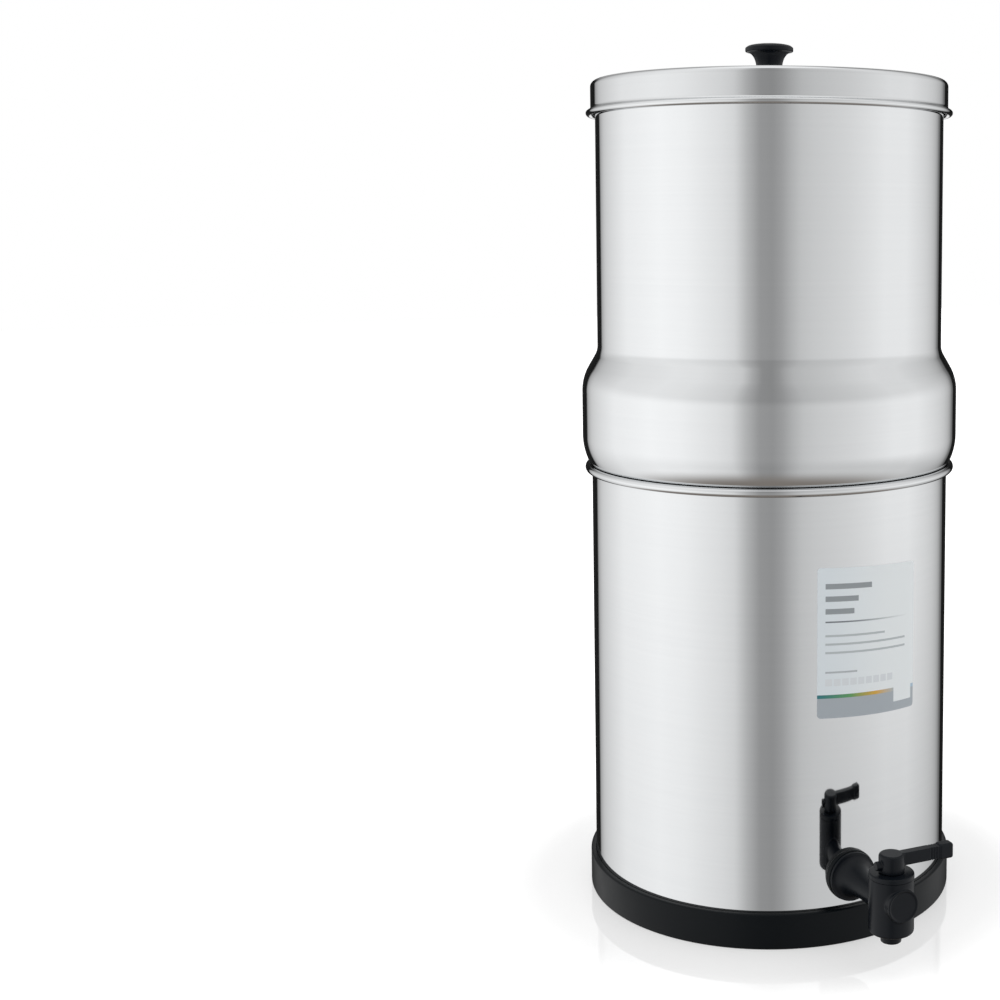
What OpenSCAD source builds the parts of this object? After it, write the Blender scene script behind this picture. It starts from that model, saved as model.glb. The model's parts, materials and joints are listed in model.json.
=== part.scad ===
// Gravity water filter: two nesting stainless chambers, two ceramic candles and a lever tap.
// Millimetres. The origin is on the table, on the axis of the chambers. The tap points along -Y.

/* [Chambers] */
// Outer diameter of the upper chamber's straight wall
upper_d = 216; // [208:1:221]
// Outer diameter of the lower chamber's straight wall
lower_d = 224; // [219:1:234]
// Thickness of the stainless sheet
wall_t = 0.8; // [0.6:0.1:1]
// Height of the lower chamber's rolled bead above the table
bead_z = 268; // [180:1:320]
// Outer diameter of the rolled bead's section
bead_d = 5.1; // [4.4:0.1:6]
// Height of the upper chamber's rim above the bead
upper_h = 236; // [225:0.5:300]
// Height of the shoulder's top above the bead
shoulder_h = 76; // [64:1:120]
// Depth that the upper chamber nests below the bead
nest_h = 16; // [12:1:30]
// Radius of both chambers' bottom corners
corner_r = 6; // [4:0.5:8]
// Height of the raised middle of the lower floor
dish_h = 2; // [1:0.5:4]
// Radius of the raised middle of the lower floor
dish_r = 84; // [50:1:88]

/* [Bulge and bead seat] */
// How far the bulge stands out beyond the bead
bulge_over = 1.4; // [1:0.1:4]
// Slope of the shoulder from the vertical, in degrees
shoulder_slope = 30; // [26:1:40]
// Radius of the hollow bend at the shoulder's top
shoulder_hollow_r = 12; // [4:1:16]
// Radius of the round bend below the shoulder
shoulder_round_r = 30; // [12:1:34]
// Radius of the long bend at the bulge's foot
bulge_foot_r = 38; // [20:1:60]
// Slope at which the bulge's foot runs in to the bead, in degrees
tuck_slope = 25; // [20:1:32]
// Radius of the tight bend that sits on the bead
tuck_r = 3; // [2:0.25:4]
// Angle from the vertical at which the upper chamber touches the bead
seat_angle = 25; // [15:1:35]
// Clearance between the two chambers at the bead
seat_gap = 0.3; // [0.2:0.1:0.5]

/* [Lid] */
// Outer diameter of the small roll on the upper chamber's rim
rim_roll_d = 2.4; // [2.2:0.1:3]
// Clearance between that roll and the lid's skirt
lid_clear = 0.4; // [0.4:0.1:1.5]
// Clearance between that roll and the lid's corner, where the lid sits
lid_seat = 0.3; // [0.1:0.1:0.4]
// Outer radius of the lid's corner
lid_corner_r = 3; // [3:0.5:8]
// Depth of the lid from its top edge to the middle of its rolled rim
lid_skirt_h = 19.5; // [12:0.5:40]
// Outer diameter of the lid's rolled rim
lid_roll_d = 3.7; // [3:0.1:6]
// Rise of the lid towards its middle
lid_rise = 1.5; // [0.5:0.5:8]

/* [Knob] */
// Diameter of the knob's head
knob_head_d = 29.8; // [24:0.2:44]
// Diameter of the knob's neck
knob_neck_d = 16.1; // [12:0.1:20]
// Diameter of the knob's foot
knob_foot_d = 19; // [17:0.5:30]
// Height of the knob
knob_h = 22.5; // [18:0.5:40]
// Thickness of the head at its edge
knob_edge_t = 3; // [2:0.1:5]
// Rise of the head's crown above its edge
knob_crown_h = 2.2; // [1:0.1:4]
// Height at which the neck begins to flare
knob_neck_z = 7.5; // [5:0.5:11]
// Diameter of the knob's screw
knob_screw_d = 5; // [3:0.5:6]
// Length of the knob's screw under its head
knob_screw_l = 14; // [10:0.5:15]
// Diameter of the screw's head
knob_screw_head_d = 9; // [8:0.5:12]
// Height of the screw's head
knob_screw_head_h = 3.2; // [2:0.1:4]
// Diameter of the washer under the lid
knob_washer_d = 16; // [13:0.5:30]
// Thickness of the washer under the lid
knob_washer_t = 1.2; // [0.8:0.1:2]

/* [Base ring] */
// Height of the base ring
base_h = 21; // [14:0.5:24]
// Thickness of the base ring's wall
base_wall = 3.2; // [2.6:0.1:6]
// Thickness of the lip that the lower chamber stands on
base_lip_t = 3; // [2:0.5:5]
// Inner radius of that lip
base_lip_r = 92; // [70:1:100]
// Rounding of the base ring's edges
base_edge_r = 1; // [0.4:0.1:1.2]
// Clearance round the lower chamber inside the base ring
base_fit = 0.05; // [0.02:0.01:0.2]

/* [Candles] */
// Distance from the chamber's axis to each candle
candle_x = 48; // [32:1:70]
// Outer diameter of the ceramic
ceramic_d = 50; // [40:1:54]
// Wall of the ceramic
ceramic_wall = 7; // [4:0.5:10]
// Height of the ceramic above its mount
ceramic_h = 185; // [90:1:200]
// Height of the ceramic's domed end
dome_h = 22; // [14:1:27]
// Clearance between the ceramic and the core inside it
core_gap = 0.3; // [0.1:0.1:1]
// Outer diameter of the candle's mount
mount_d = 57.4; // [56:0.2:62]
// Height of the mount
mount_h = 13; // [11:0.5:20]
// Depth of the mount's socket
socket_h = 8; // [5:0.5:9]
// Clearance round the ceramic in the socket
socket_fit = 0.05; // [0.02:0.01:0.2]
// Diameter of the candle's stem
stem_d = 12; // [10:0.5:14]
// Length of the stem below the mount
stem_l = 19.5; // [16:0.5:30]
// Diameter of the water bore down the stem
stem_bore_d = 5; // [3:0.5:7]
// Clearance round the stem in the chamber's floor
stem_clear = 0.5; // [0.2:0.1:1]
// Thickness of the seal under the mount
seal_t = 2.3; // [1.5:0.1:4]
// Width of the seal
seal_w = 5.2; // [3:0.1:9]
// Gap between the mount's middle and the chamber's floor
mount_gap = 0.3; // [0.2:0.1:1]

/* [Wing nuts] */
// Diameter of the wing nut's flange
nut_flange_d = 23; // [20:0.5:30]
// Thickness of the wing nut's flange
nut_flange_t = 2.5; // [1.5:0.5:4]
// Diameter of the wing nut's hub
nut_hub_d = 18; // [17:0.5:22]
// Height of the wing nut
nut_h = 10; // [8:0.5:13]
// Reach of each wing from the nut's axis
nut_wing_r = 20; // [16:0.5:26]
// Thickness of each wing
nut_wing_t = 3; // [2:0.5:5]
// Running clearance of each thread, and of the plug in the barrel
run_fit = 0.05; // [0.02:0.01:0.09]
// Gap between the wing nut and the floor above it
nut_gap = 0.3; // [0.1:0.1:0.5]

/* [Tap] */
// Height of the tap's axis above the table
tap_z = 40; // [36:1:70]
// Distance from the chamber's wall to the barrel's axis
tap_reach = 49; // [44:1:70]
// Diameter of the flange
flange_d = 29; // [26:0.5:32]
// Thickness of the flange's edge
flange_t = 2.2; // [1.5:0.1:4]
// Length of the trumpet in front of the flange
trumpet_l = 21; // [14:0.5:26]
// Width of the step between the flange's edge and the trumpet
trumpet_step = 0.9; // [0.5:0.1:3]
// Diameter of the neck
neck_d = 14.4; // [12.5:0.2:17]
// Diameter of the barrel
barrel_d = 25.6; // [24:0.2:30]
// Height of the barrel above the tap's axis
barrel_up = 18; // [17:0.5:24]
// Depth of the barrel below the tap's axis
barrel_down = 13.5; // [12:0.5:17]
// Rounding of the barrel's lower edge
barrel_edge_r = 1.5; // [0.5:0.1:2.5]
// Diameter of the nozzle at its mouth
nozzle_d = 11.6; // [10:0.2:14]
// Length of the nozzle below the barrel
nozzle_l = 6; // [3:0.5:8]
// Diameter of the round boss on the barrel's front
boss_d = 18.8; // [14:0.2:20]
// Height of the boss's centre above the tap's axis
boss_up = 5.6; // [4:0.2:7]
// How far the boss stands out beyond the barrel
boss_out = 1; // [0.6:0.1:4]
// Width of the raised edge round the boss
boss_edge_w = 1.1; // [0.6:0.1:2]
// Depth of the boss's face behind that edge
boss_recess = 0.5; // [0.2:0.1:0.5]
// Diameter of the waterway
water_d = 8; // [6:0.5:9]

/* [Tap fixing] */
// Diameter of the threaded tail
tail_d = 16; // [13:0.5:18]
// Length of the tail behind the flange
tail_l = 23; // [20:0.5:40]
// Clearance round the tail in the chamber and the washers
tail_clear = 0.3; // [0.1:0.1:0.6]
// Diameter of both washers
washer_d = 30; // [27:0.5:33]
// Thickness of both washers at their middle
washer_t = 2.5; // [2.2:0.1:4]
// Clearance between the washers and the chamber's wall
washer_gap = 0.05; // [0.02:0.01:0.1]
// Width across the back nut's flats
back_nut_flats = 24; // [22:0.5:28]
// Diameter of the back nut's flange
back_nut_flange_d = 29; // [28:0.5:33]
// Thickness of the back nut
back_nut_t = 8; // [5:0.5:10]
// Thickness of the back nut's flange
back_nut_flange_t = 2; // [1:0.5:3]

/* [Plug and handle] */
// Diameter of the barrel's bore
bore_d = 16; // [15:0.5:19]
// Depth of the bore's floor below the tap's axis
bore_down = 10; // [9.5:0.5:10.5]
// Play above and below the plug
plug_play = 0.3; // [0.2:0.1:0.5]
// Diameter of the plug's O-ring section
oring_d = 2; // [1.4:0.1:2.2]
// Distance of each O-ring from the tap's axis
oring_up = 7; // [6.5:0.1:7.4]
// Thickness of the bonnet's cap
bonnet_t = 2.6; // [1.5:0.1:5]
// Depth of the bonnet's spigot in the barrel
spigot_l = 5; // [3:0.5:6]
// Diameter of the plug's stem
plug_stem_d = 9; // [7:0.5:10]
// Distance from the stem's axis to its flat
stem_flat = 3.4; // [2.5:0.1:3.4]
// Diameter of the handle's hub
hub_d = 14.6; // [13:0.2:18]
// Height of the handle's hub
hub_h = 10.2; // [9:0.2:16]
// Thickness of the hub's top over the stem
hub_top_t = 2.6; // [1.5:0.1:4]
// Gap between the hub and the bonnet
hub_gap = 0.3; // [0.2:0.1:1]
// Distance from the hub's axis to the lever's tip
lever_l = 38.5; // [30:0.5:60]
// Height of the lever's bar
lever_bar_h = 7.2; // [5:0.2:8]
// Thickness of the lever's bar
lever_bar_t = 5; // [3:0.5:7]
// Length of the grip at the lever's end
grip_l = 9; // [6:0.5:14]
// Height of the grip
grip_h = 8.8; // [6:0.2:12]
// Thickness of the grip
grip_t = 6.6; // [5:0.2:10]
// Rounding of the grip's corners
grip_r = 1.4; // [0.5:0.1:2]
// Diameter of the stop nub
nub_d = 5.2; // [3:0.2:6]
// Distance from the hub's axis to the nub's end
nub_l = 10.3; // [9:0.1:14]
// Distance from the hub's top down to the nub's axis
nub_down = 6; // [4:0.1:7]

/* [Hidden] */

steel = [0.8, 0.81, 0.82];
plastic = [0.08, 0.08, 0.085];
rubber = [0.05, 0.05, 0.05];
ceramic = [0.94, 0.93, 0.91];
carbon = [0.16, 0.16, 0.16];
seal_blue = [0.3, 0.38, 0.6];
bright = [0.75, 0.76, 0.78];

$fn = 64;
big_fn = 144;      // facets shown on the large round sheets
curve_sag = 0.08;  // furthest that an arc's chords lie inside it
curve_n = 10;      // pieces in a free curve
roll_turn = 290;   // how far a rolled edge curls round
cut = 1;           // how far a cutting shape runs past what it cuts
dish_run = 5;      // width of the slope round the lower floor's raised middle
nest_draft = 1;    // how much the nesting part narrows towards its floor
bend_fill = 0.98;  // most of a step's width that its bends may fill
wing_taper = 2;    // how much each wing narrows towards the hub
knob_foot_t = 1.5;
knob_round_r = 1;  // rounding of the knob head's edge
lid_flat_w = 1;    // flat band between the lid's rise and its corner
lid_land_w = 2;    // flat band round the knob's foot
bonnet_bevel = 0.5;
hub_bevel = 0.8;
mount_bevel = 1;
screw_slot_w = 1.2;
screw_slot_h = 1.2;
screw_tip_gap = 1;
thread_edge = 1;   // bevel at the end of each thread
nozzle_taper = 0.6;  // how much wider the nozzle's root is than its mouth
lever_down = 0.3;  // how far the lever's bar lies below the hub's top
grooves = 3;       // grip grooves across the lever's bar, on both faces
groove_w = 0.8;
groove_pitch = 1.7;

// Radii of the chambers and of what they carry
upper_r = upper_d / 2;
lower_r = lower_d / 2;
bead_r = lower_r - wall_t + bead_d / 2;
bulge_r = max(bead_r + bead_d / 2, upper_r) + bulge_over;
nest_r = bead_r - bead_d / 2 - seat_gap;
floor_z = bead_z - nest_h;
floor_top = floor_z + wall_t;

// The tight bend of the bulge's foot stands seat_gap off the bead, at seat_angle
seat_reach = tuck_r + bead_d / 2 + seat_gap;
tuck_c = [bead_r, bead_z] + seat_reach * [-sin(seat_angle), cos(seat_angle)];
tuck_end = tuck_c + tuck_r * [cos(tuck_slope), -sin(tuck_slope)];
foot_r = min(bulge_foot_r, bend_fill * (bulge_r - tuck_end.x) / (1 - cos(tuck_slope)));
foot_in = foot_r * (1 - cos(tuck_slope));
foot_z = tuck_end.y + (bulge_r - foot_in - tuck_end.x) / tan(tuck_slope) + foot_r * sin(tuck_slope);

// The shoulder: a hollow bend, a straight slope and a round bend
shoulder_z = bead_z + shoulder_h;
shoulder_in = bulge_r - upper_r;
bends_in = (shoulder_hollow_r + shoulder_round_r) * (1 - cos(shoulder_slope));
bend_share = min(1, bend_fill * shoulder_in / bends_in);
hollow_r = shoulder_hollow_r * bend_share;
round_r = shoulder_round_r * bend_share;
slope_run = shoulder_in - (hollow_r + round_r) * (1 - cos(shoulder_slope));
round_z = shoulder_z - (hollow_r + round_r) * sin(shoulder_slope) - slope_run / tan(shoulder_slope);

// The lid hangs on the upper rim's roll, which lies in the lid's corner
rim_z = bead_z + upper_h;
rim_roll_r = upper_r - wall_t + rim_roll_d / 2;
lid_in_r = rim_roll_r + rim_roll_d / 2 + lid_clear;
lid_r = lid_in_r + wall_t;
corner_in_r = lid_corner_r - wall_t;
corner_c_r = lid_in_r - corner_in_r;
seat_swing = corner_in_r - rim_roll_d / 2 - lid_seat;
seat_off = max(0, rim_roll_r - corner_c_r);
lid_under_z = rim_z + corner_in_r - sqrt(max(0, pow(seat_swing, 2) - pow(seat_off, 2)));
lid_edge_z = lid_under_z + wall_t;
lid_roll_r = lid_in_r + lid_roll_d / 2;
lid_roll_z = lid_edge_z - lid_skirt_h;
lid_top_z = lid_edge_z + lid_rise;
lid_land_r = max(knob_foot_d, knob_washer_d) / 2 + lid_land_w;

// Candles
seal_z = floor_top;
mount_z = seal_z + seal_t;
socket_z = mount_z + mount_h - socket_h;
ceramic_top = mount_z + mount_h + ceramic_h;
mount_plate_r = mount_d / 2 - seal_w;
core_top = ceramic_top - ceramic_wall - core_gap;
nut_top = floor_z - nut_gap;

// Tap: e is a distance from the chambers' axis towards the tap
flange_e = lower_r + washer_t;
barrel_e = lower_r + tap_reach;
inner_wall_r = lower_r - wall_t;
saddle = lower_r - sqrt(pow(lower_r, 2) - pow(washer_d / 2, 2));
inner_washer_e = inner_wall_r - washer_t;
tail_end_e = flange_e - tail_l;
barrel_top = tap_z + barrel_up;
barrel_bottom = tap_z - barrel_down;
bore_z = tap_z - bore_down;
plug_r = bore_d / 2 - run_fit;
plug_bottom = bore_z + plug_play;
plug_top = barrel_top - spigot_l - plug_play;
bonnet_top = barrel_top + bonnet_t;
hub_z = bonnet_top + hub_gap;
hub_top = hub_z + hub_h;
stem_top = hub_top - hub_top_t - plug_play;
stem_hole_r = plug_stem_d / 2 + run_fit;
lever_z = hub_top - lever_down - lever_bar_h / 2;
oring_r = plug_r - oring_d / 2;
seal_play = 0.05;  // clearance round each O-ring in its groove

// Points on an arc about c, of radius r, from angle a to angle b
function arc(c, r, a, b) =
    let (n = max(2, ceil(abs(b - a) / (2 * acos(1 - curve_sag / max(r, 1))))))
    [for (i = [0:n]) c + r * [cos(a + (b - a) * i / n), sin(a + (b - a) * i / n)]];

// A quarter of an ellipse, hollow on the outside: upright at [r0, z0], level at [r1, z1]
function flare(r0, z0, r1, z1) =
    [for (i = [0:curve_n]) let (a = 90 * i / curve_n)
        [r1 - (r1 - r0) * cos(a), z0 + (z1 - z0) * sin(a)]];

// A quarter of an ellipse, round on the outside: upright at [r, z], level at the axis
function dome(r, z, h) =
    [for (i = [0:curve_n]) let (a = 90 * i / curve_n) [i == curve_n ? 0 : r * cos(a), z + h * sin(a)]];

// A gentle rise from [r1, z1] to [r0, z0], level at both ends
function ease(r0, z0, r1, z1) =
    [for (i = [0:curve_n]) let (t = i / curve_n)
        [r0 + (r1 - r0) * t, z1 + (z0 - z1) * (1 + cos(180 * t)) / 2]];

function unit(v) = v / norm(v);
function left_of(v) = [-v.y, v.x];
function reversed(list) = [for (i = [len(list) - 1:-1:0]) list[i]];
function after_first(list) = [for (i = [1:len(list) - 1]) list[i]];

// The direction in which a path leaves its point i
function step(path, i) = unit(path[i + 1] - path[i]);

// A path's points moved a distance t to its left
function beside(path, t) =
    let (last = len(path) - 1)
    [for (i = [0:last])
        let (before = left_of(step(path, max(i, 1) - 1)),
             after = left_of(step(path, min(i, last - 1))),
             middle = unit(before + after))
        path[i] + middle * t / (middle * before)];

// A sheet of thickness t on the left of a path, turned about the axis
module turned_sheet(path, t) {
    rotate_extrude($fn = big_fn)
        polygon(concat(path, reversed(beside(path, t))));
}

module turned(points, fn = $fn) {
    rotate_extrude($fn = fn) polygon(points);
}

// Local z runs from the chambers' axis out along the tap
module along_tap(up = 0) {
    translate([0, 0, tap_z + up]) rotate([90, 0, 0]) children();
}

// Stands a shape on the barrel's axis
module at_barrel() {
    translate([0, -barrel_e, 0]) children();
}

// A bore of radius r from z0 to z1, which runs on past each end unless past is 0 there
module bore(r, z0, z1, past0 = cut, past1 = cut) {
    translate([0, 0, z0 - past0]) cylinder(r = r, h = z1 - z0 + past0 + past1);
}

// A disc with one flat side
module d_shape(r, flat) {
    intersection() {
        circle(r = r);
        translate([-r, -r]) square([2 * r, r + flat]);
    }
}

module rounded_rect(w, h, r) {
    square([w - 2 * r, h], center = true);
    square([w, h - 2 * r], center = true);
    for (x = [-1, 1], y = [-1, 1])
        translate([x * (w / 2 - r), y * (h / 2 - r)]) circle(r = r);
}

module lower_chamber() {
    path = concat(
        [[0, base_lip_t + dish_h]],
        [[dish_r, base_lip_t + dish_h], [dish_r + dish_run, base_lip_t]],
        arc([lower_r - corner_r, base_lip_t + corner_r], corner_r, -90, 0),
        arc([bead_r, bead_z], bead_d / 2 - wall_t, 180, 180 - roll_turn));
    color(steel) difference() {
        turned_sheet(path, wall_t);
        along_tap() bore(tail_d / 2 + tail_clear, inner_wall_r - saddle, lower_r);
    }
}

module base_ring() {
    in_r = lower_r + base_fit;
    out_r = in_r + base_wall;
    fillet_r = corner_r + base_fit;
    color(rubber) turned(concat(
        [[base_lip_r, base_lip_t], [base_lip_r, 0]],
        arc([out_r - base_edge_r, base_edge_r], base_edge_r, -90, 0),
        arc([out_r - base_edge_r, base_h - base_edge_r], base_edge_r, 0, 90),
        [[in_r, base_h]],
        arc([in_r - fillet_r, base_lip_t + fillet_r], fillet_r, 0, -90)), big_fn);
}

// The flange, trumpet, neck and tail, turned about the tap's axis
module tap_spout() {
    neck_e = flange_e + flange_t + trumpet_l;
    trumpet_r = flange_d / 2 - trumpet_step;
    along_tap() turned(concat(
        [[0, tail_end_e], [tail_d / 2 - thread_edge, tail_end_e], [tail_d / 2, tail_end_e + thread_edge]],
        [[tail_d / 2, flange_e], [flange_d / 2, flange_e], [flange_d / 2, flange_e + flange_t]],
        reversed(flare(neck_d / 2, neck_e, trumpet_r, flange_e + flange_t)),
        [[neck_d / 2, barrel_e - barrel_d / 4], [0, barrel_e - barrel_d / 4]]));
}

// The upright barrel and the nozzle under it
module tap_barrel() {
    nozzle_r = nozzle_d / 2;
    at_barrel() turned(concat(
        [[0, barrel_bottom - nozzle_l], [nozzle_r, barrel_bottom - nozzle_l]],
        [[nozzle_r + nozzle_taper, barrel_bottom]],
        arc([barrel_d / 2 - barrel_edge_r, barrel_bottom + barrel_edge_r], barrel_edge_r, -90, 0),
        [[barrel_d / 2, barrel_top], [0, barrel_top]]));
}

// The bare round boss on the barrel's front
module tap_boss() {
    face_e = barrel_e + barrel_d / 2 + boss_out;
    along_tap(boss_up) difference() {
        translate([0, 0, barrel_e]) cylinder(d = boss_d, h = face_e - barrel_e);
        translate([0, 0, face_e - boss_recess]) cylinder(d = boss_d - 2 * boss_edge_w, h = boss_recess + cut);
    }
}

module tap_body() {
    color(plastic) difference() {
        union() {
            tap_spout();
            tap_barrel();
            tap_boss();
        }
        at_barrel() bore(bore_d / 2, bore_z, barrel_top, past0 = 0);
        at_barrel() bore(water_d / 2, barrel_bottom - nozzle_l, bore_z);
        along_tap() bore(water_d / 2, tail_end_e, barrel_e, past1 = 0);
    }
}

module tap_bonnet() {
    spigot_z = barrel_top - spigot_l;
    color(plastic) at_barrel() difference() {
        turned([
            [0, spigot_z], [plug_r - bonnet_bevel, spigot_z], [plug_r, spigot_z + bonnet_bevel],
            [plug_r, barrel_top], [barrel_d / 2, barrel_top],
            [barrel_d / 2, bonnet_top - bonnet_bevel], [barrel_d / 2 - bonnet_bevel, bonnet_top],
            [0, bonnet_top]]);
        bore(stem_hole_r, spigot_z, bonnet_top);
    }
}

// A washer from e0 to e1 along the tap, with a hole for the tail
module tap_washer(e0, e1) {
    along_tap() difference() {
        translate([0, 0, e0]) cylinder(d = washer_d, h = e1 - e0);
        bore(tail_d / 2 + tail_clear, e0, e1);
    }
}

// All that lies inside a chamber wall of radius r, up past the washers
module inside_wall(r) {
    cylinder(r = r, h = tap_z + washer_d, $fn = big_fn);
}

module tap_outer_washer() {
    color(rubber) difference() {
        tap_washer(lower_r - 2 * saddle, flange_e);
        inside_wall(lower_r + washer_gap);
    }
}

module tap_inner_washer() {
    color(rubber) intersection() {
        tap_washer(inner_washer_e, inner_wall_r + cut);
        inside_wall(inner_wall_r - washer_gap);
    }
}

module tap_back_nut() {
    nut_e = inner_washer_e - back_nut_t;
    color(plastic) along_tap() difference() {
        union() {
            translate([0, 0, nut_e]) cylinder(d = back_nut_flats / cos(30), h = back_nut_t, $fn = 6);
            translate([0, 0, inner_washer_e - back_nut_flange_t])
                cylinder(d = back_nut_flange_d, h = back_nut_flange_t);
        }
        bore(tail_d / 2 + run_fit, nut_e, inner_washer_e);
    }
}

// The plug turns in the barrel: water comes in at its side and leaves below
module tap_plug() {
    color(plastic) at_barrel() difference() {
        union() {
            translate([0, 0, plug_bottom]) cylinder(r = plug_r, h = plug_top - plug_bottom);
            translate([0, 0, plug_top]) cylinder(d = plug_stem_d, h = bonnet_top - plug_top);
            translate([0, 0, bonnet_top])
                linear_extrude(stem_top - bonnet_top) d_shape(plug_stem_d / 2, stem_flat);
        }
        bore(water_d / 2, plug_bottom, tap_z, past1 = 0);
        translate([0, 0, tap_z]) rotate([0, -90, 0]) bore(water_d / 2, 0, plug_r, past0 = 0);
        for (up = [-1, 1]) translate([0, 0, tap_z + up * oring_up]) oring_groove();
    }
}

module oring_groove() {
    groove_r = oring_r - oring_d / 2 - seal_play;
    half_h = oring_d / 2 + seal_play;
    rotate_extrude() translate([groove_r, -half_h]) square([plug_r - groove_r + cut, 2 * half_h]);
}

module plug_seal(up) {
    color(rubber) at_barrel() translate([0, 0, tap_z + up * oring_up])
        rotate_extrude() translate([oring_r, 0]) circle(d = oring_d, $fn = 32);
}

// A flat bar in the upright plane of the lever, its middle at x
module lever_piece(x, t) {
    translate([x, 0, lever_z]) rotate([90, 0, 0]) linear_extrude(t, center = true) children();
}

module tap_handle() {
    bar_end = lever_l - grip_r;
    groove_x = lever_l - grip_l - grooves * groove_pitch;
    color(plastic) at_barrel() difference() {
        union() {
            turned([
                [0, hub_z], [hub_d / 2, hub_z], [hub_d / 2, hub_top - hub_bevel],
                [hub_d / 2 - hub_bevel, hub_top], [0, hub_top]]);
            lever_piece(bar_end / 2, lever_bar_t) square([bar_end, lever_bar_h], center = true);
            lever_piece(lever_l - grip_l / 2, grip_t) rounded_rect(grip_l, grip_h, grip_r);
            translate([0, 0, hub_top - nub_down]) rotate([0, -90, 0]) turned([
                [0, 0], [nub_d / 2, 0], [nub_d / 2, nub_l - hub_bevel],
                [nub_d / 2 - hub_bevel, nub_l], [0, nub_l]]);
        }
        translate([0, 0, hub_z - cut])
            linear_extrude(hub_h - hub_top_t + cut) d_shape(stem_hole_r, stem_flat + run_fit);
        for (i = [0:grooves - 1], face = [-1, 1])
            lever_groove(groove_x + i * groove_pitch, face);
    }
}

module lever_groove(x, face) {
    translate([x, face * lever_bar_t / 2, lever_z])
        cube([groove_w, groove_w, lever_bar_h + cut], center = true);
}

module upper_chamber() {
    path = concat(
        [[0, floor_z]],
        arc([nest_r - nest_draft - corner_r, floor_z + corner_r], corner_r, -90, 0),
        arc([bead_r, bead_z], bead_d / 2 + seat_gap, 180, 90 + seat_angle),
        after_first(arc(tuck_c, tuck_r, seat_angle - 90, -tuck_slope)),
        arc([bulge_r - foot_r, foot_z], foot_r, -tuck_slope, 0),
        arc([bulge_r - round_r, round_z], round_r, 0, shoulder_slope),
        arc([upper_r + hollow_r, shoulder_z], hollow_r, 180 + shoulder_slope, 180),
        arc([rim_roll_r, rim_z], rim_roll_d / 2 - wall_t, 180, 180 - roll_turn));
    color(steel) difference() {
        turned_sheet(path, wall_t);
        for (side = [-1, 1]) at_candle(side)
            bore(stem_d / 2 + stem_clear, floor_z, floor_top);
    }
}

// Candle pieces stand on the candle's own axis, and at_candle puts them in place
module at_candle(side) {
    translate([side * candle_x, 0, 0]) children();
}

// A rod from z0 to z1, with its end domed from the candle's shoulder up
module domed_rod(r, z0, z1) {
    dome_z = ceramic_top - dome_h;
    turned(concat([[0, z0], [r, z0]], dome(r, dome_z, z1 - dome_z)));
}

module candle_ceramic() {
    color(ceramic) difference() {
        domed_rod(ceramic_d / 2, socket_z, ceramic_top);
        domed_rod(ceramic_d / 2 - ceramic_wall, socket_z - cut, ceramic_top - ceramic_wall);
    }
}

module candle_core() {
    color(carbon) domed_rod(ceramic_d / 2 - ceramic_wall - core_gap, socket_z, core_top);
}

module candle_mount() {
    out_r = mount_d / 2;
    socket_r = ceramic_d / 2 + socket_fit;
    plate_z = floor_top + mount_gap;
    stem_z = mount_z - stem_l;
    top_z = mount_z + mount_h;
    color(plastic) difference() {
        turned([
            [0, stem_z], [stem_d / 2 - thread_edge, stem_z], [stem_d / 2, stem_z + thread_edge],
            [stem_d / 2, plate_z], [mount_plate_r, plate_z], [mount_plate_r, mount_z],
            [out_r, mount_z], [out_r, top_z - mount_bevel], [out_r - mount_bevel, top_z],
            [socket_r, top_z], [socket_r, socket_z], [0, socket_z]]);
        bore(stem_bore_d / 2, stem_z, socket_z);
    }
}

module candle_seal() {
    color(seal_blue) difference() {
        translate([0, 0, seal_z]) cylinder(d = mount_d, h = seal_t);
        bore(mount_plate_r + socket_fit, seal_z, mount_z);
    }
}

module wing_nut() {
    color(plastic) translate([0, 0, nut_top]) rotate([180, 0, 0]) difference() {
        union() {
            cylinder(d = nut_flange_d, h = nut_flange_t);
            cylinder(d = nut_hub_d, h = nut_h);
            for (turn = [0, 180]) rotate([90, 0, turn]) linear_extrude(nut_wing_t, center = true) wing();
        }
        bore(stem_d / 2 + run_fit, 0, nut_h);
    }
}

// One wing's outline, from the nut's axis out to its round tip
module wing() {
    tip_r = (nut_h - nut_flange_t) / 2;
    tip_x = nut_wing_r - tip_r;
    polygon([[0, 0], [tip_x, nut_flange_t], [tip_x, nut_h], [0, nut_h - wing_taper]]);
    translate([tip_x, nut_flange_t + tip_r]) circle(r = tip_r);
}

module lid() {
    path = concat(
        [[0, lid_top_z]],
        ease(lid_land_r, lid_top_z, lid_r - lid_corner_r - lid_flat_w, lid_edge_z),
        arc([lid_r - lid_corner_r, lid_edge_z - lid_corner_r], lid_corner_r, 90, 0),
        arc([lid_roll_r, lid_roll_z], lid_roll_d / 2 - wall_t, 180, 180 + roll_turn));
    color(steel) difference() {
        turned_sheet(path, -wall_t);
        bore(knob_screw_d / 2 + run_fit, lid_top_z - wall_t, lid_top_z);
    }
}

module lid_knob() {
    rim_c_r = knob_head_d / 2 - knob_round_r;
    head_z = knob_h - knob_crown_h - knob_edge_t;
    screw_in = knob_screw_l - knob_washer_t - wall_t;
    color(plastic) translate([0, 0, lid_top_z]) difference() {
        turned(concat(
            [[0, 0], [knob_foot_d / 2, 0], [knob_foot_d / 2, knob_foot_t]],
            flare(knob_neck_d / 2, knob_neck_z, rim_c_r, head_z),
            after_first(arc([rim_c_r, head_z + knob_round_r], knob_round_r, -90, 0)),
            arc([rim_c_r, head_z + knob_edge_t - knob_round_r], knob_round_r, 0, 90),
            after_first(dome(rim_c_r, head_z + knob_edge_t, knob_crown_h))));
        bore(knob_screw_d / 2 + run_fit, 0, screw_in + screw_tip_gap, past1 = 0);
    }
}

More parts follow.
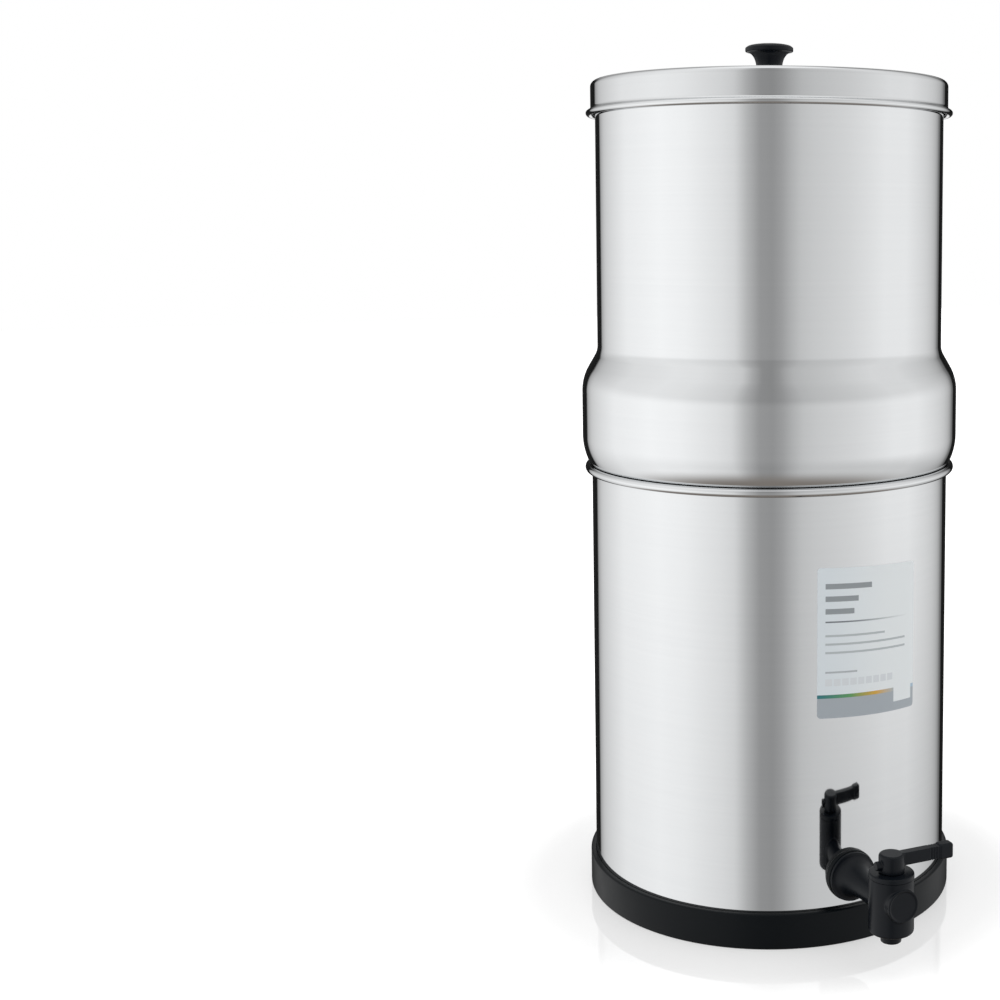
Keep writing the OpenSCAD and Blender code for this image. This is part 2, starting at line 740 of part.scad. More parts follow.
module knob_washer() {
    color(bright) translate([0, 0, lid_top_z - wall_t - knob_washer_t]) difference() {
        cylinder(d = knob_washer_d, h = knob_washer_t);
        bore(knob_screw_d / 2 + run_fit, 0, knob_washer_t);
    }
}

module knob_screw() {
    shank_r = knob_screw_d / 2;
    head_r = knob_screw_head_d / 2;
    slot = [knob_screw_head_d + cut, screw_slot_w, 2 * screw_slot_h];
    color(bright) translate([0, 0, lid_top_z - wall_t - knob_washer_t]) difference() {
        turned(concat(
            [[0, knob_screw_l], [shank_r / 2, knob_screw_l], [shank_r, knob_screw_l - shank_r / 2]],
            [[shank_r, 0]],
            dome(head_r, 0, -knob_screw_head_h)));
        translate([0, 0, -knob_screw_head_h]) cube(slot, center = true);
    }
}

lower_chamber();
base_ring();
tap_body();
tap_bonnet();
tap_outer_washer();
tap_inner_washer();
tap_back_nut();
tap_plug();
plug_seal(1);  // plug_seal_upper
plug_seal(-1);  // plug_seal_lower
tap_handle();
upper_chamber();
at_candle(-1) candle_ceramic();  // left_candle_ceramic
at_candle(-1) candle_core();  // left_candle_core
at_candle(-1) candle_mount();  // left_candle_mount
at_candle(-1) candle_seal();  // left_candle_seal
at_candle(1) candle_ceramic();  // right_candle_ceramic
at_candle(1) candle_core();  // right_candle_core
at_candle(1) candle_mount();  // right_candle_mount
at_candle(1) candle_seal();  // right_candle_seal
at_candle(-1) wing_nut();  // left_wing_nut
at_candle(1) wing_nut();  // right_wing_nut
lid();
lid_knob();
knob_washer();
knob_screw();
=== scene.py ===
# %% [markdown]
# # A gravity water filter with a lever tap
#
# The real thing is two drawn stainless chambers that nest in each other, with two ceramic candles in the
# upper one and a plastic tap at the foot of the lower one. This lesson dresses its construction model: the
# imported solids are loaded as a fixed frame, and each visible piece is made again with the softness, the
# sheet thickness and the finish that the real one has.
#
# A frame could also be measured by hand, and the pieces be moved until they fit. Reading every place from
# the solids is safer, because the two models can't drift apart.

# %% Load the frame
import json
import math
from functools import partialmethod

import bmesh
import bpy
from mathutils import Matrix, Vector


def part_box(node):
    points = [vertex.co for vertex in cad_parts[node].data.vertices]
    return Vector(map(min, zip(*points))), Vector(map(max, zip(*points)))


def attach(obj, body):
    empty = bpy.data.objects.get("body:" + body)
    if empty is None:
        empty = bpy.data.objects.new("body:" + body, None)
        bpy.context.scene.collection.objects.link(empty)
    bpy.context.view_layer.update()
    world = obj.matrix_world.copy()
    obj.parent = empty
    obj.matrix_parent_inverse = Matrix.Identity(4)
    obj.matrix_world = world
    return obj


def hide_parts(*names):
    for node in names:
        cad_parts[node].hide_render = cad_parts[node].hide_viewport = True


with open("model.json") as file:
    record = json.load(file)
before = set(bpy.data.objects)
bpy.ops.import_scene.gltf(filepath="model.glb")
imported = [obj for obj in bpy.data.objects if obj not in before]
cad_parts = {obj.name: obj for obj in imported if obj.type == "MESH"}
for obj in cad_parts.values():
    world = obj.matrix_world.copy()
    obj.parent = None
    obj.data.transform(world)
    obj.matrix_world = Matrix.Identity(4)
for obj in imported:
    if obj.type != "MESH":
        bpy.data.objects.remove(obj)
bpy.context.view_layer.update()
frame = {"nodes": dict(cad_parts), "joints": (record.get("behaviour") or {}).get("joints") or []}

# %% [markdown]
# ## Sizes
#
# The script works in millimetres, as the maker's drawing does, and turns them into metres when a mesh is
# made. What a solid can tell is read from its box: the radius of the bead, the height of the rim, the
# place of the tap. What a box can't tell, such as the thickness of the sheet, is a named value.

# %% Measure the frame
MM = 0.001


def corners(node):
    """The lowest and highest corner of a solid, in millimetres."""
    low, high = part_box(node)
    return low / MM, high / MM


def joint_place(name):
    """The place of a joint, in millimetres."""
    return next(Vector(j["pos_m"]) / MM for j in frame["joints"] if j["name"] == name)


WALL = 0.8
_, lower_high = corners("lower_chamber")
upper_low, upper_high = corners("upper_chamber")
_, lid_high = corners("lid")
_, ring_high = corners("base_ring")
tap_place = joint_place("tap_turn")
nut_place = joint_place("right_nut_turn")

# %% [markdown]
# ## Wires: shader and geometry maths as Python
#
# A node tree is a sum written with cables. Wiring each Math node by hand hides the sum, so one small class
# wraps an output and lets `+`, `-`, `*`, `/`, `**`, `<` and `>` add the nodes. Every other node comes from
# its `node` method: first the settings, then the sockets.

# %% The wire class
class Wire:
    """An output of a node. Sums on it add Math nodes to its tree."""

    def __init__(self, tree, socket=None):
        self.tree = tree
        self.socket = socket

    def node(self, kind, settings=None, sockets=None, out=0):
        """Adds a node, sets its settings and then its sockets, and gives one of its outputs."""
        made = self.tree.nodes.new(kind)
        for name, value in (settings or {}).items():
            if name == "stops":
                fill_ramp(made.color_ramp, value)
            else:
                setattr(made, name, value)
        for name, value in (sockets or {}).items():
            self.plug_in(made.inputs[name], value)
        return Wire(self.tree, made.outputs[out] if len(made.outputs) else None)

    def plug_in(self, target, value):
        """Links a wire to a socket, or sets the socket's own value."""
        if isinstance(value, Wire):
            self.tree.links.new(value.socket, target)
        else:
            target.default_value = value

    def other(self, out):
        """Another output of the same node."""
        return Wire(self.tree, self.socket.node.outputs[out])

    def split(self):
        """The x, y and z of a vector."""
        x = self.node("ShaderNodeSeparateXYZ", sockets={"Vector": self}, out="X")
        return x, x.other("Y"), x.other("Z")

    def vector(self, x=0.0, y=0.0, z=0.0):
        """A vector of these three."""
        return self.node("ShaderNodeCombineXYZ", sockets={"X": x, "Y": y, "Z": z})

    def math(self, operation, *values):
        """A Math node on these values."""
        return self.node("ShaderNodeMath", {"operation": operation}, dict(enumerate(values)))

    def of(self, operation, *others):
        """A Math node on this wire and the others."""
        return self.math(operation, self, *others)

    def between(self, low, high):
        """0 below low, 1 above high and a soft step from one to the other."""
        sockets = {"Value": self, "From Min": low, "From Max": high}
        return self.node("ShaderNodeMapRange", {"interpolation_type": "SMOOTHSTEP"}, sockets)

    def mix(self, low, high):
        """The colour low where this wire is 0 and high where it is 1."""
        sockets = {"Factor": self, 6: low, 7: high}
        return self.node("ShaderNodeMix", {"data_type": "RGBA"}, sockets, out=2)

    def __radd__(self, other):
        return self.math("ADD", other, self)

    def __rsub__(self, other):
        return self.math("SUBTRACT", other, self)


OPERATORS = {
    "__add__": "ADD", "__sub__": "SUBTRACT", "__mul__": "MULTIPLY", "__truediv__": "DIVIDE",
    "__pow__": "POWER", "__gt__": "GREATER_THAN", "__lt__": "LESS_THAN",
}
for method, operation in OPERATORS.items():
    setattr(Wire, method, partialmethod(Wire.of, operation))


def fill_ramp(ramp, stops):
    """Gives a colour ramp its stops: a list of places with a grey level or a colour at each."""
    while len(ramp.elements) < len(stops):
        ramp.elements.new(1.0)
    for element, (place, colour) in zip(ramp.elements, stops):
        element.position = place
        shade = (colour,) * 3 if isinstance(colour, (int, float)) else colour
        element.color = (*shade, 1.0)


def rgb(red, green, blue):
    """A colour as a shader's socket takes it."""
    return (red, green, blue, 1.0)


def grey(level):
    """A grey as a shader's socket takes it."""
    return rgb(level, level, level)


def fresh_wires(owner):
    """The emptied node tree of a material or a world."""
    owner.use_nodes = True
    owner.node_tree.nodes.clear()
    return Wire(owner.node_tree)


# %% [markdown]
# ## Outlines
#
# Turned and drawn things are drawn as half of their cross-section. Round stretches are arcs, worked out
# here with as many points as keep them within a hundredth of a millimetre. `beside` gives the second face
# of a bent sheet, at the same distance from the first everywhere, as a real sheet has.

# %% Arcs and offsets
CURVE_SAG = 0.008
SMALLEST_R = 0.5
CURVE_STEPS = 16
SAME_POINT = 1e-4


def arc(centre, radius, start, end):
    """Points on an arc, from one angle to another in degrees."""
    step = 2 * math.degrees(math.acos(1 - CURVE_SAG / max(radius, SMALLEST_R)))
    count = max(3, math.ceil(abs(end - start) / step))
    angles = [math.radians(start + (end - start) * i / count) for i in range(count + 1)]
    return [(centre[0] + radius * math.cos(a), centre[1] + radius * math.sin(a)) for a in angles]


def low_round(r, z, edge):
    """The round outer edge at the bottom of a section, upwards."""
    return arc((r - edge, z + edge), edge, -90, 0)


def high_round(r, z, edge):
    """The round outer edge at the top of a section, upwards."""
    return arc((r - edge, z - edge), edge, 0, 90)


def flare(r0, z0, r1, z1):
    """A quarter of an ellipse, hollow outside: upright at (r0, z0), level at (r1, z1)."""
    angles = [math.pi / 2 * i / CURVE_STEPS for i in range(CURVE_STEPS + 1)]
    return [(r1 - (r1 - r0) * math.cos(a), z0 + (z1 - z0) * math.sin(a)) for a in angles]


def dome(radius, z, height):
    """A quarter of an ellipse, round outside: upright at (radius, z), level on the axis."""
    angles = [math.pi / 2 * i / CURVE_STEPS for i in range(CURVE_STEPS)]
    return [(radius * math.cos(a), z + height * math.sin(a)) for a in angles] + [(0, z + height)]


def ease(r0, z0, r1, z1):
    """A gentle rise from one point to another, level at both ends."""
    turns = [i / CURVE_STEPS for i in range(CURVE_STEPS + 1)]
    return [(r0 + (r1 - r0) * t, z1 + (z0 - z1) * (1 + math.cos(math.pi * t)) / 2) for t in turns]


def steps_between(start, end, spacing):
    """Points on a straight stretch, with both its ends."""
    a, b = Vector(start), Vector(end)
    count = max(1, round((b - a).length / spacing))
    return [tuple(a.lerp(b, i / count)) for i in range(count + 1)]


def beside(path, distance):
    """The path moved sideways to its left, mitred at each point."""
    points = [Vector(p) for p in path]
    lefts = [Vector((-(b - a).y, (b - a).x)).normalized() for a, b in zip(points, points[1:])]
    moved = []
    for i, point in enumerate(points):
        before = lefts[max(i, 1) - 1]
        after = lefts[min(i, len(lefts) - 1)]
        middle = (before + after).normalized()
        moved.append(tuple(point + middle * distance / middle.dot(before)))
    return moved


def sheet_outline(path, thickness):
    """The closed cross-section of a bent sheet whose one face is the path."""
    return tidy_path(path) + tidy_path(beside(tidy_path(path), thickness))[::-1]


def tidy_path(path):
    """The path without points that repeat the one before them."""
    kept = [path[0]]
    for point in path[1:]:
        if (Vector(point) - Vector(kept[-1])).length > SAME_POINT:
            kept.append(point)
    return kept


print("a full turn of a 2 mm roll has", len(arc((0, 0), 2, 0, 360)) - 1, "pieces")

# %% [markdown]
# ## The lathe
#
# Chambers, lid, knob and candles are all bodies of revolution. The Screw modifier or the spin of a bmesh
# would turn an outline as well. A Geometry Nodes lathe was chosen because it can do one thing more: it
# knows the angle of each point, so the same tree cuts a screw thread where the outline lies on a thread's
# radius. The tree lays out a grid, one row for each point of the outline, and bends it round the axis.

# %% Build the lathe
DOUBLES = 0.000002
ON_RADIUS = 0.00001


def new_tree(name, inputs):
    """An empty geometry tree with these named inputs: the name, the kind and the value of each."""
    tree = bpy.data.node_groups.new(name, "GeometryNodeTree")
    tree.interface.new_socket("Geometry", in_out="OUTPUT", socket_type="NodeSocketGeometry")
    tree.interface.new_socket("Geometry", in_out="INPUT", socket_type="NodeSocketGeometry")
    for label, kind, value in inputs:
        socket = tree.interface.new_socket(label, in_out="INPUT", socket_type=kind)
        if value is not None:
            socket.default_value = value
    return tree


def end_tree(wires, geometry, material):
    """Ends a tree in real meshes with a material."""
    real = wires.node("GeometryNodeRealizeInstances", sockets={"Geometry": geometry})
    painted = wires.node("GeometryNodeSetMaterial", sockets={"Geometry": real, "Material": material})
    wires.node("NodeGroupOutput", sockets={"Geometry": painted})


def build_lathe():
    """The tree that turns an outline about the z axis, with a thread where the outline asks for one."""
    tree = new_tree("lathe", [
        ("Steps around", "NodeSocketInt", 64),
        ("Thread radius", "NodeSocketFloat", 0.0),
        ("Thread pitch", "NodeSocketFloat", 0.0015),
        ("Thread depth", "NodeSocketFloat", 0.0),
        ("Material", "NodeSocketMaterial", None),
    ])
    wires = Wire(tree)
    outline = wires.node("NodeGroupInput", out="Geometry")
    steps = outline.other("Steps around")
    count = wires.node("GeometryNodeAttributeDomainSize", sockets={"Geometry": outline}, out="Point Count")
    columns = steps + 1
    grid = wires.node("GeometryNodeMeshGrid", sockets={"Vertices X": count, "Vertices Y": columns})
    index = wires.node("GeometryNodeInputIndex")
    row = ((index + 0.5) / columns).of("FLOOR")
    column = index - row * columns
    settings = {"data_type": "FLOAT_VECTOR", "domain": "POINT"}
    sample = {"Geometry": outline, "Value": wires.node("GeometryNodeInputPosition"), "Index": row}
    point = wires.node("GeometryNodeSampleIndex", settings, sample)
    radius, _, height = point.split()
    turn = column / steps
    phase = (height / outline.other("Thread pitch") + turn).of("FRACT")
    valley = (phase - 0.5).of("ABSOLUTE") * 2
    off = radius - outline.other("Thread radius")
    on_thread = off.of("ABSOLUTE") < ON_RADIUS
    left = radius - valley * outline.other("Thread depth") * on_thread
    angle = turn * (2 * math.pi)
    moved = wires.vector(left * angle.of("COSINE"), left * angle.of("SINE"), height)
    bent = wires.node("GeometryNodeSetPosition", sockets={"Geometry": grid, "Position": moved})
    closed = wires.node("GeometryNodeMergeByDistance", sockets={"Geometry": bent, "Distance": DOUBLES})
    end_tree(wires, closed, outline.other("Material"))
    return tree


LATHE = build_lathe()
print("the lathe has", len(LATHE.nodes), "nodes")

# %% [markdown]
# A tree's inputs are set by their identifiers before the object is first evaluated. The result is then
# taken over as a plain mesh, because an instance or a live modifier would be lost in an export. Faces of a
# turned shape may come out inside out, so their normals are worked out again once the doubles are gone.

# %% Turn an outline into a mesh
SHARP_ANGLE = math.radians(32)
LEVEL = 0.9
SHELL_STEPS = 256
SHOWN_STEPS = 128
SMALL_STEPS = 96
PLAIN_STEPS = 64
CUTTER_STEPS = 48
HOLE_PAST = 1.0


def run_tree(piece, tree, values):
    """Runs a geometry tree on a piece and keeps the result as its mesh."""
    modifier = piece.modifiers.new(tree.name, "NODES")
    modifier.node_group = tree
    sockets = {s.name: s.identifier for s in tree.interface.items_tree if s.in_out == "INPUT"}
    for name, value in values.items():
        modifier[sockets[name]] = value
    piece.update_tag()
    return bake(piece)


def bake(piece):
    """Makes what a piece's modifiers do a part of its mesh."""
    bpy.context.view_layer.update()
    graph = bpy.context.evaluated_depsgraph_get()
    mesh = bpy.data.meshes.new_from_object(piece.evaluated_get(graph))
    piece.modifiers.clear()
    piece.data = mesh
    mesh.name = piece.name
    return piece


def clean(piece):
    """Merges doubles, turns the faces outwards and shades them smooth up to the sharp edges."""
    shape = bmesh.new()
    shape.from_mesh(piece.data)
    bmesh.ops.remove_doubles(shape, verts=shape.verts, dist=DOUBLES)
    bmesh.ops.dissolve_degenerate(shape, edges=shape.edges, dist=DOUBLES)
    bmesh.ops.recalc_face_normals(shape, faces=shape.faces)
    shape.to_mesh(piece.data)
    shape.free()
    piece.data.shade_smooth()
    piece.data.set_sharp_from_angle(angle=SHARP_ANGLE)
    return piece


def new_piece(name, points=(), edges=(), faces=()):
    """A new object with a mesh of these points, given in millimetres."""
    mesh = bpy.data.meshes.new(name)
    mesh.from_pydata([Vector(p) * MM for p in points], edges, faces)
    piece = bpy.data.objects.new(name, mesh)
    bpy.context.scene.collection.objects.link(piece)
    return piece


def piece_of(name, shape):
    """A new object of a bmesh, which is used up."""
    piece = new_piece(name)
    shape.to_mesh(piece.data)
    shape.free()
    return piece


def turned(name, outline, material, steps=PLAIN_STEPS, thread=None):
    """A body of revolution about z. A thread is its radius, its pitch and its depth."""
    path = tidy_path(outline)
    edges = [(i, i + 1) for i in range(len(path) - 1)]
    piece = new_piece(name, [(r, 0, z) for r, z in path], edges)
    values = {"Steps around": steps, "Material": material}
    if thread:
        names = ("Thread radius", "Thread pitch", "Thread depth")
        values.update(zip(names, [v * MM for v in thread]))
    return clean(run_tree(piece, LATHE, values))


def ring_outline(points):
    """A closed cross-section that stays off the axis, for a ring."""
    return list(points) + [points[0]]


def place(piece, matrix):
    """Puts a mesh where a matrix says, with lengths in millimetres. The object stays at the origin."""
    piece.data.transform(Matrix.Scale(MM, 4) @ matrix @ Matrix.Scale(1 / MM, 4))
    return piece


def join(name, parts):
    """One piece of several meshes."""
    shape = bmesh.new()
    for part in parts:
        shape.from_mesh(part.data)
        bpy.data.objects.remove(part)
    return piece_of(name, shape)


def modify(piece, kind, **settings):
    """Adds a modifier with these settings."""
    modifier = piece.modifiers.new(kind, kind)
    for name, value in settings.items():
        setattr(modifier, name, value)


def cut_away(piece, cutter):
    """Takes the cutter's volume out of a piece."""
    modify(piece, "BOOLEAN", operation="DIFFERENCE", solver="EXACT", object=cutter)
    bake(piece)
    bpy.data.objects.remove(cutter)
    return clean(piece)


def rod(radius, low, high, steps=CUTTER_STEPS):
    """A plain round cutter along z."""
    return turned("cutter", [(0, low), (radius, low), (radius, high), (0, high)], None, steps)


def soft_union(parts, name, voxel, rounds):
    """One moulded shape of overlapping parts, with its edges and hollows softened."""
    piece = join(name, parts)
    modify(piece, "REMESH", mode="VOXEL", voxel_size=voxel * MM)
    modify(piece, "SMOOTH", factor=0.5, iterations=rounds)
    return clean(bake(piece))


def wear(piece, material):
    """Gives a piece its one material."""
    piece.data.materials.clear()
    piece.data.materials.append(material)
    return piece


def line_inside(piece, material, edge):
    """Gives one more material to the faces of a vessel that look at its axis or up, below its edge."""
    piece.data.materials.append(material)
    slot = len(piece.data.materials) - 1
    for face in piece.data.polygons:
        middle = face.center / MM
        inward = middle.x * face.normal.x + middle.y * face.normal.y < 0
        level = face.normal.z > LEVEL
        if middle.z < edge - WALL and (inward or level):
            face.material_index = slot
    return piece


def count_faces(*pieces):
    """Prints how large each piece's mesh is."""
    for piece in pieces:
        print(piece.name, len(piece.data.polygons), "faces")


# %% [markdown]
# ## Finishes
#
# Each finish is a Principled shader whose colour, gloss and relief come from nodes. `finish` builds the
# shader round a recipe, a short function that takes the finish's own values and gives the sockets that
# vary. What doesn't vary is set on the sockets.
# All patterns read Object coordinates, so that they stay on the piece when it is seen from elsewhere.

# %% The finish helper
def finish(name, recipe, constants, **values):
    """A material: the recipe's wires for what varies, constants for the rest."""
    material = bpy.data.materials.new(name)
    wires = fresh_wires(material)
    shader = wires.node("ShaderNodeBsdfPrincipled", sockets={**constants, **recipe(wires, **values)})
    wires.node("ShaderNodeOutputMaterial", sockets={"Surface": shader})
    return material


def object_place(wires):
    """The place on the piece, as a vector and as its x, y and z."""
    where = wires.node("ShaderNodeTexCoord", out="Object")
    return where, *where.split()


def noise(wires, vector, scale, detail=2.0, roughness=0.5):
    """Smooth noise from 0 to 1."""
    sockets = {"Vector": vector, "Scale": scale, "Detail": detail, "Roughness": roughness}
    return wires.node("ShaderNodeTexNoise", sockets=sockets, out="Fac")


def relief(wires, height, depth):
    """A bump of this depth in millimetres."""
    return wires.node("ShaderNodeBump", sockets={"Height": height, "Strength": 1.0, "Distance": depth * MM})


# %% [markdown]
# Drawn stainless is polished on a turning spindle. The abrasive leaves very fine lines round the piece, so
# a reflection stays sharp sideways and blurs a little up and down. Anisotropic shading would do it, but it
# needs tangents and is lost in an export. Here a noise that runs quickly along the height and slowly
# around the piece drives a tiny bump and the roughness. Height plus radius is used as the quick direction,
# so the lines also circle on the flat floors and on the lid. The insides of the vessels are only brushed,
# so they are satin.

# %% Polished steel
LINES_PER_M = 2600
LINES_AROUND = 9
WIDE_LINES_PER_M = 468
WIDE_LINES_AROUND = 5
STEEL_DARK = rgb(0.635, 0.645, 0.655)
STEEL_LIGHT = rgb(0.675, 0.685, 0.69)


def spun_steel(wires, gloss, line_depth):
    """Steel with fine lines round the z axis."""
    where, x, y, z = object_place(wires)
    along = z + (x * x + y * y) ** 0.5
    lines = wires.vector(x * LINES_AROUND, y * LINES_AROUND, along * LINES_PER_M)
    wide_lines = wires.vector(x * WIDE_LINES_AROUND, y * WIDE_LINES_AROUND, along * WIDE_LINES_PER_M)
    fine = noise(wires, lines, 1.0, 3.0, 0.6)
    wide = noise(wires, wide_lines, 1.0, 2.0, 0.5)
    smudge = noise(wires, where, 26.0, 3.0, 0.55).between(0.45, 0.75)
    tone = fine * 0.5 + wide * 0.5
    return {
        "Base Color": tone.mix(STEEL_DARK, STEEL_LIGHT),
        "Roughness": fine * 0.03 + smudge * 0.02 + gloss,
        "Normal": relief(wires, fine * 0.4 + wide * 0.6, line_depth),
    }


METAL = {"Metallic": 1.0}
POLISHED = finish("polished_steel", spun_steel, METAL, gloss=0.035, line_depth=0.0006)
SATIN = finish("satin_steel", spun_steel, {"Metallic": 0.85}, gloss=0.62, line_depth=0.004)
FASTENER = finish("fastener_steel", spun_steel, METAL, gloss=0.2, line_depth=0.002)

# %% [markdown]
# Tap, knob and candle mounts are moulded in black plastic from one kind of mould: a fine spark-eroded
# grain with smooth, slightly glossier patches. The base ring and the washers are softer rubber, flatter in
# sheen. A Voronoi texture gives pits with borders, noise gives the soft dimples wanted here.

# %% Black plastic and rubber
def moulded(wires, dark, light, gloss, grain_per_m, grain_depth):
    """A moulded surface with a fine grain."""
    where = object_place(wires)[0]
    grain = noise(wires, where, grain_per_m, 3.0, 0.6)
    cloud = noise(wires, where, 60.0, 3.0, 0.5)
    return {
        "Base Color": (cloud * 0.6 + grain * 0.4).mix(rgb(*dark), rgb(*light)),
        "Roughness": gloss + cloud.between(0.3, 0.7) * 0.06 + grain * 0.06,
        "Normal": relief(wires, grain, grain_depth),
    }


PLASTIC = finish(
    "black_plastic", moulded, {"Specular IOR Level": 0.17},
    dark=(0.003, 0.0045, 0.007), light=(0.0055, 0.0075, 0.011), gloss=0.26, grain_per_m=2600.0,
    grain_depth=0.005,
)
RUBBER = finish(
    "black_rubber", moulded, {"Specular IOR Level": 0.13},
    dark=(0.0015, 0.003, 0.0045), light=(0.003, 0.0048, 0.0065), gloss=0.30, grain_per_m=1800.0,
    grain_depth=0.005,
)
SILICONE = finish(
    "blue_silicone", moulded, {"Specular IOR Level": 0.4},
    dark=(0.09, 0.13, 0.30), light=(0.12, 0.17, 0.36), gloss=0.4, grain_per_m=1500.0, grain_depth=0.006,
)

# %% [markdown]
# The candles are unglazed, fired earth: chalky, a little warm, with pores that a fingertip feels. Behind
# them lies a block of pressed carbon grains. Each has two close tones, broken up by relief.

# %% Ceramic and carbon
def raw_ceramic(wires):
    """Fired, unglazed ceramic."""
    where = object_place(wires)[0]
    cloud = noise(wires, where, 45.0, 4.0, 0.55)
    pores = noise(wires, where, 1900.0, 2.0, 0.6)
    holes = pores.between(0.62, 0.72)
    colour = cloud.mix(rgb(0.80, 0.775, 0.74), rgb(0.86, 0.84, 0.81))
    return {
        "Base Color": holes.mix(colour, rgb(0.70, 0.67, 0.63)),
        "Roughness": 0.86 + cloud * 0.08,
        "Normal": relief(wires, cloud * 0.5 + pores - holes, 0.02),
    }


def pressed_carbon(wires):
    """A block of pressed carbon grains."""
    where = object_place(wires)[0]
    grains = wires.node("ShaderNodeTexVoronoi", sockets={"Vector": where, "Scale": 1100.0}, out="Distance")
    cloud = noise(wires, where, 300.0, 3.0)
    return {
        "Base Color": grains.mix(rgb(0.03, 0.03, 0.032), rgb(0.012, 0.012, 0.013)),
        "Roughness": 0.7 + cloud * 0.2,
        "Normal": relief(wires, 1 - grains, 0.12),
    }


CERAMIC = finish("raw_ceramic", raw_ceramic, {"Specular IOR Level": 0.3})
CARBON = finish("pressed_carbon", pressed_carbon, {"Specular IOR Level": 0.4})
FINISHES = (POLISHED, SATIN, FASTENER, PLASTIC, RUBBER, SILICONE, CERAMIC, CARBON)
print("finishes:", [material.name for material in FINISHES])

# %% [markdown]
# ## The lower chamber
#
# A deep-drawn pot: dished floor, tight corner, straight wall, and a rim rolled outwards into a bead that
# stiffens it. It could be a subdivided cylinder with thickness from Solidify. Turning the true section is
# more exact at the roll, where the sheet curls back on itself, and it costs no more.

# %% Draw the lower chamber
BEAD_D = 5.1
CORNER_R = 6.0
LIP_T = 3.0
ROLL_TURN = 290
DISH_R = 84.0
DISH_RUN = 5.0
DISH_H = 2.0
DISH_RINGS = (0, 40)
HOLE_R = 8.3
HOLE_REACH = 17.0
HOLE_ROW = 4.0
CUT_REACH = 6.0

bead_r = lower_high.x - BEAD_D / 2
bead_z = lower_high.z - BEAD_D / 2
lower_r = bead_r - BEAD_D / 2 + WALL
tap_z = tap_place.z


def lower_path():
    """The outer face of the lower chamber, from the middle of its floor to the end of its roll."""
    dish_z = LIP_T + DISH_H
    return (
        [(r, dish_z) for r in DISH_RINGS]
        + ease(DISH_R, dish_z, DISH_R + DISH_RUN, LIP_T)
        + low_round(lower_r, LIP_T, CORNER_R)
        + steps_between((lower_r, tap_z - HOLE_REACH), (lower_r, tap_z + HOLE_REACH), HOLE_ROW)
        + arc((bead_r, bead_z), BEAD_D / 2 - WALL, 180, 180 - ROLL_TURN)
    )


def tap_turned(height=0.0):
    """Turns a shape from upright to the tap's axis: its z runs out from the chambers' axis."""
    return Matrix.Translation((0, 0, tap_z + height)) @ Matrix.Rotation(math.radians(90), 4, "X")


lower_shell = turned("lower_shell", sheet_outline(lower_path(), WALL), POLISHED, SHELL_STEPS)
cut_away(lower_shell, place(rod(HOLE_R, lower_r - CUT_REACH, lower_r + CUT_REACH), tap_turned()))
line_inside(lower_shell, SATIN, bead_z)
count_faces(lower_shell)

# %% [markdown]
# ## The upper chamber
#
# The upper pot is narrower, and a swaged bulge near its foot hides the joint: the sheet swells out over a
# shoulder, drops, tucks in and sits on the lower bead, and the last stretch nests inside it. Each bend is
# an arc that meets the next one in the same direction, so that reflections run over it without a break.

# %% Draw the upper chamber
RIM_ROLL_D = 2.4
SEAT_GAP = 0.3
SEAT_ANGLE = 25
TUCK_R = 3.0
TUCK_SLOPE = 25
FOOT_R = 38.0
ROUND_R = 30.0
HOLLOW_R = 12.0
SHOULDER_SLOPE = 30
SHOULDER_H = 76.0
SHOULDER_IN = 9.7
NEST_DRAFT = 1.0
FLOOR_RINGS = (0, 30, 66)
STEM_HOLE_R = 6.5
FLOOR_CUT = 3.0

bulge_r = upper_high.x
upper_r = bulge_r - SHOULDER_IN
floor_z = upper_low.z
rim_z = upper_high.z - RIM_ROLL_D / 2
rim_r = upper_r - WALL + RIM_ROLL_D / 2
candle_x = nut_place.x


def polar(length, degrees):
    """A step of this length in this direction."""
    return Vector((length * math.cos(math.radians(degrees)), length * math.sin(math.radians(degrees))))


def upper_path():
    """The outer face of the upper chamber, from the middle of its floor to the end of its rolled rim."""
    nest_r = bead_r - BEAD_D / 2 - SEAT_GAP
    tuck = Vector((bead_r, bead_z)) + polar(TUCK_R + BEAD_D / 2 + SEAT_GAP, 90 + SEAT_ANGLE)
    tuck_end = tuck + polar(TUCK_R, -TUCK_SLOPE)
    foot_in = FOOT_R * (1 - math.cos(math.radians(TUCK_SLOPE)))
    run = (bulge_r - foot_in - tuck_end.x) / math.tan(math.radians(TUCK_SLOPE))
    foot_z = tuck_end.y + run + FOOT_R * math.sin(math.radians(TUCK_SLOPE))
    shoulder_z = bead_z + SHOULDER_H
    slope = math.radians(SHOULDER_SLOPE)
    straight = SHOULDER_IN - (HOLLOW_R + ROUND_R) * (1 - math.cos(slope))
    round_z = shoulder_z - (HOLLOW_R + ROUND_R) * math.sin(slope) - straight / math.tan(slope)
    return (
        [(r, floor_z) for r in FLOOR_RINGS]
        + low_round(nest_r - NEST_DRAFT, floor_z, CORNER_R)
        + arc((bead_r, bead_z), BEAD_D / 2 + SEAT_GAP, 180, 90 + SEAT_ANGLE)
        + arc(tuck, TUCK_R, SEAT_ANGLE - 90, -TUCK_SLOPE)[1:]
        + arc((bulge_r - FOOT_R, foot_z), FOOT_R, -TUCK_SLOPE, 0)
        + arc((bulge_r - ROUND_R, round_z), ROUND_R, 0, SHOULDER_SLOPE)
        + arc((upper_r + HOLLOW_R, shoulder_z), HOLLOW_R, 180 + SHOULDER_SLOPE, 180)
        + arc((rim_r, rim_z), RIM_ROLL_D / 2 - WALL, 180, 180 - ROLL_TURN)
    )


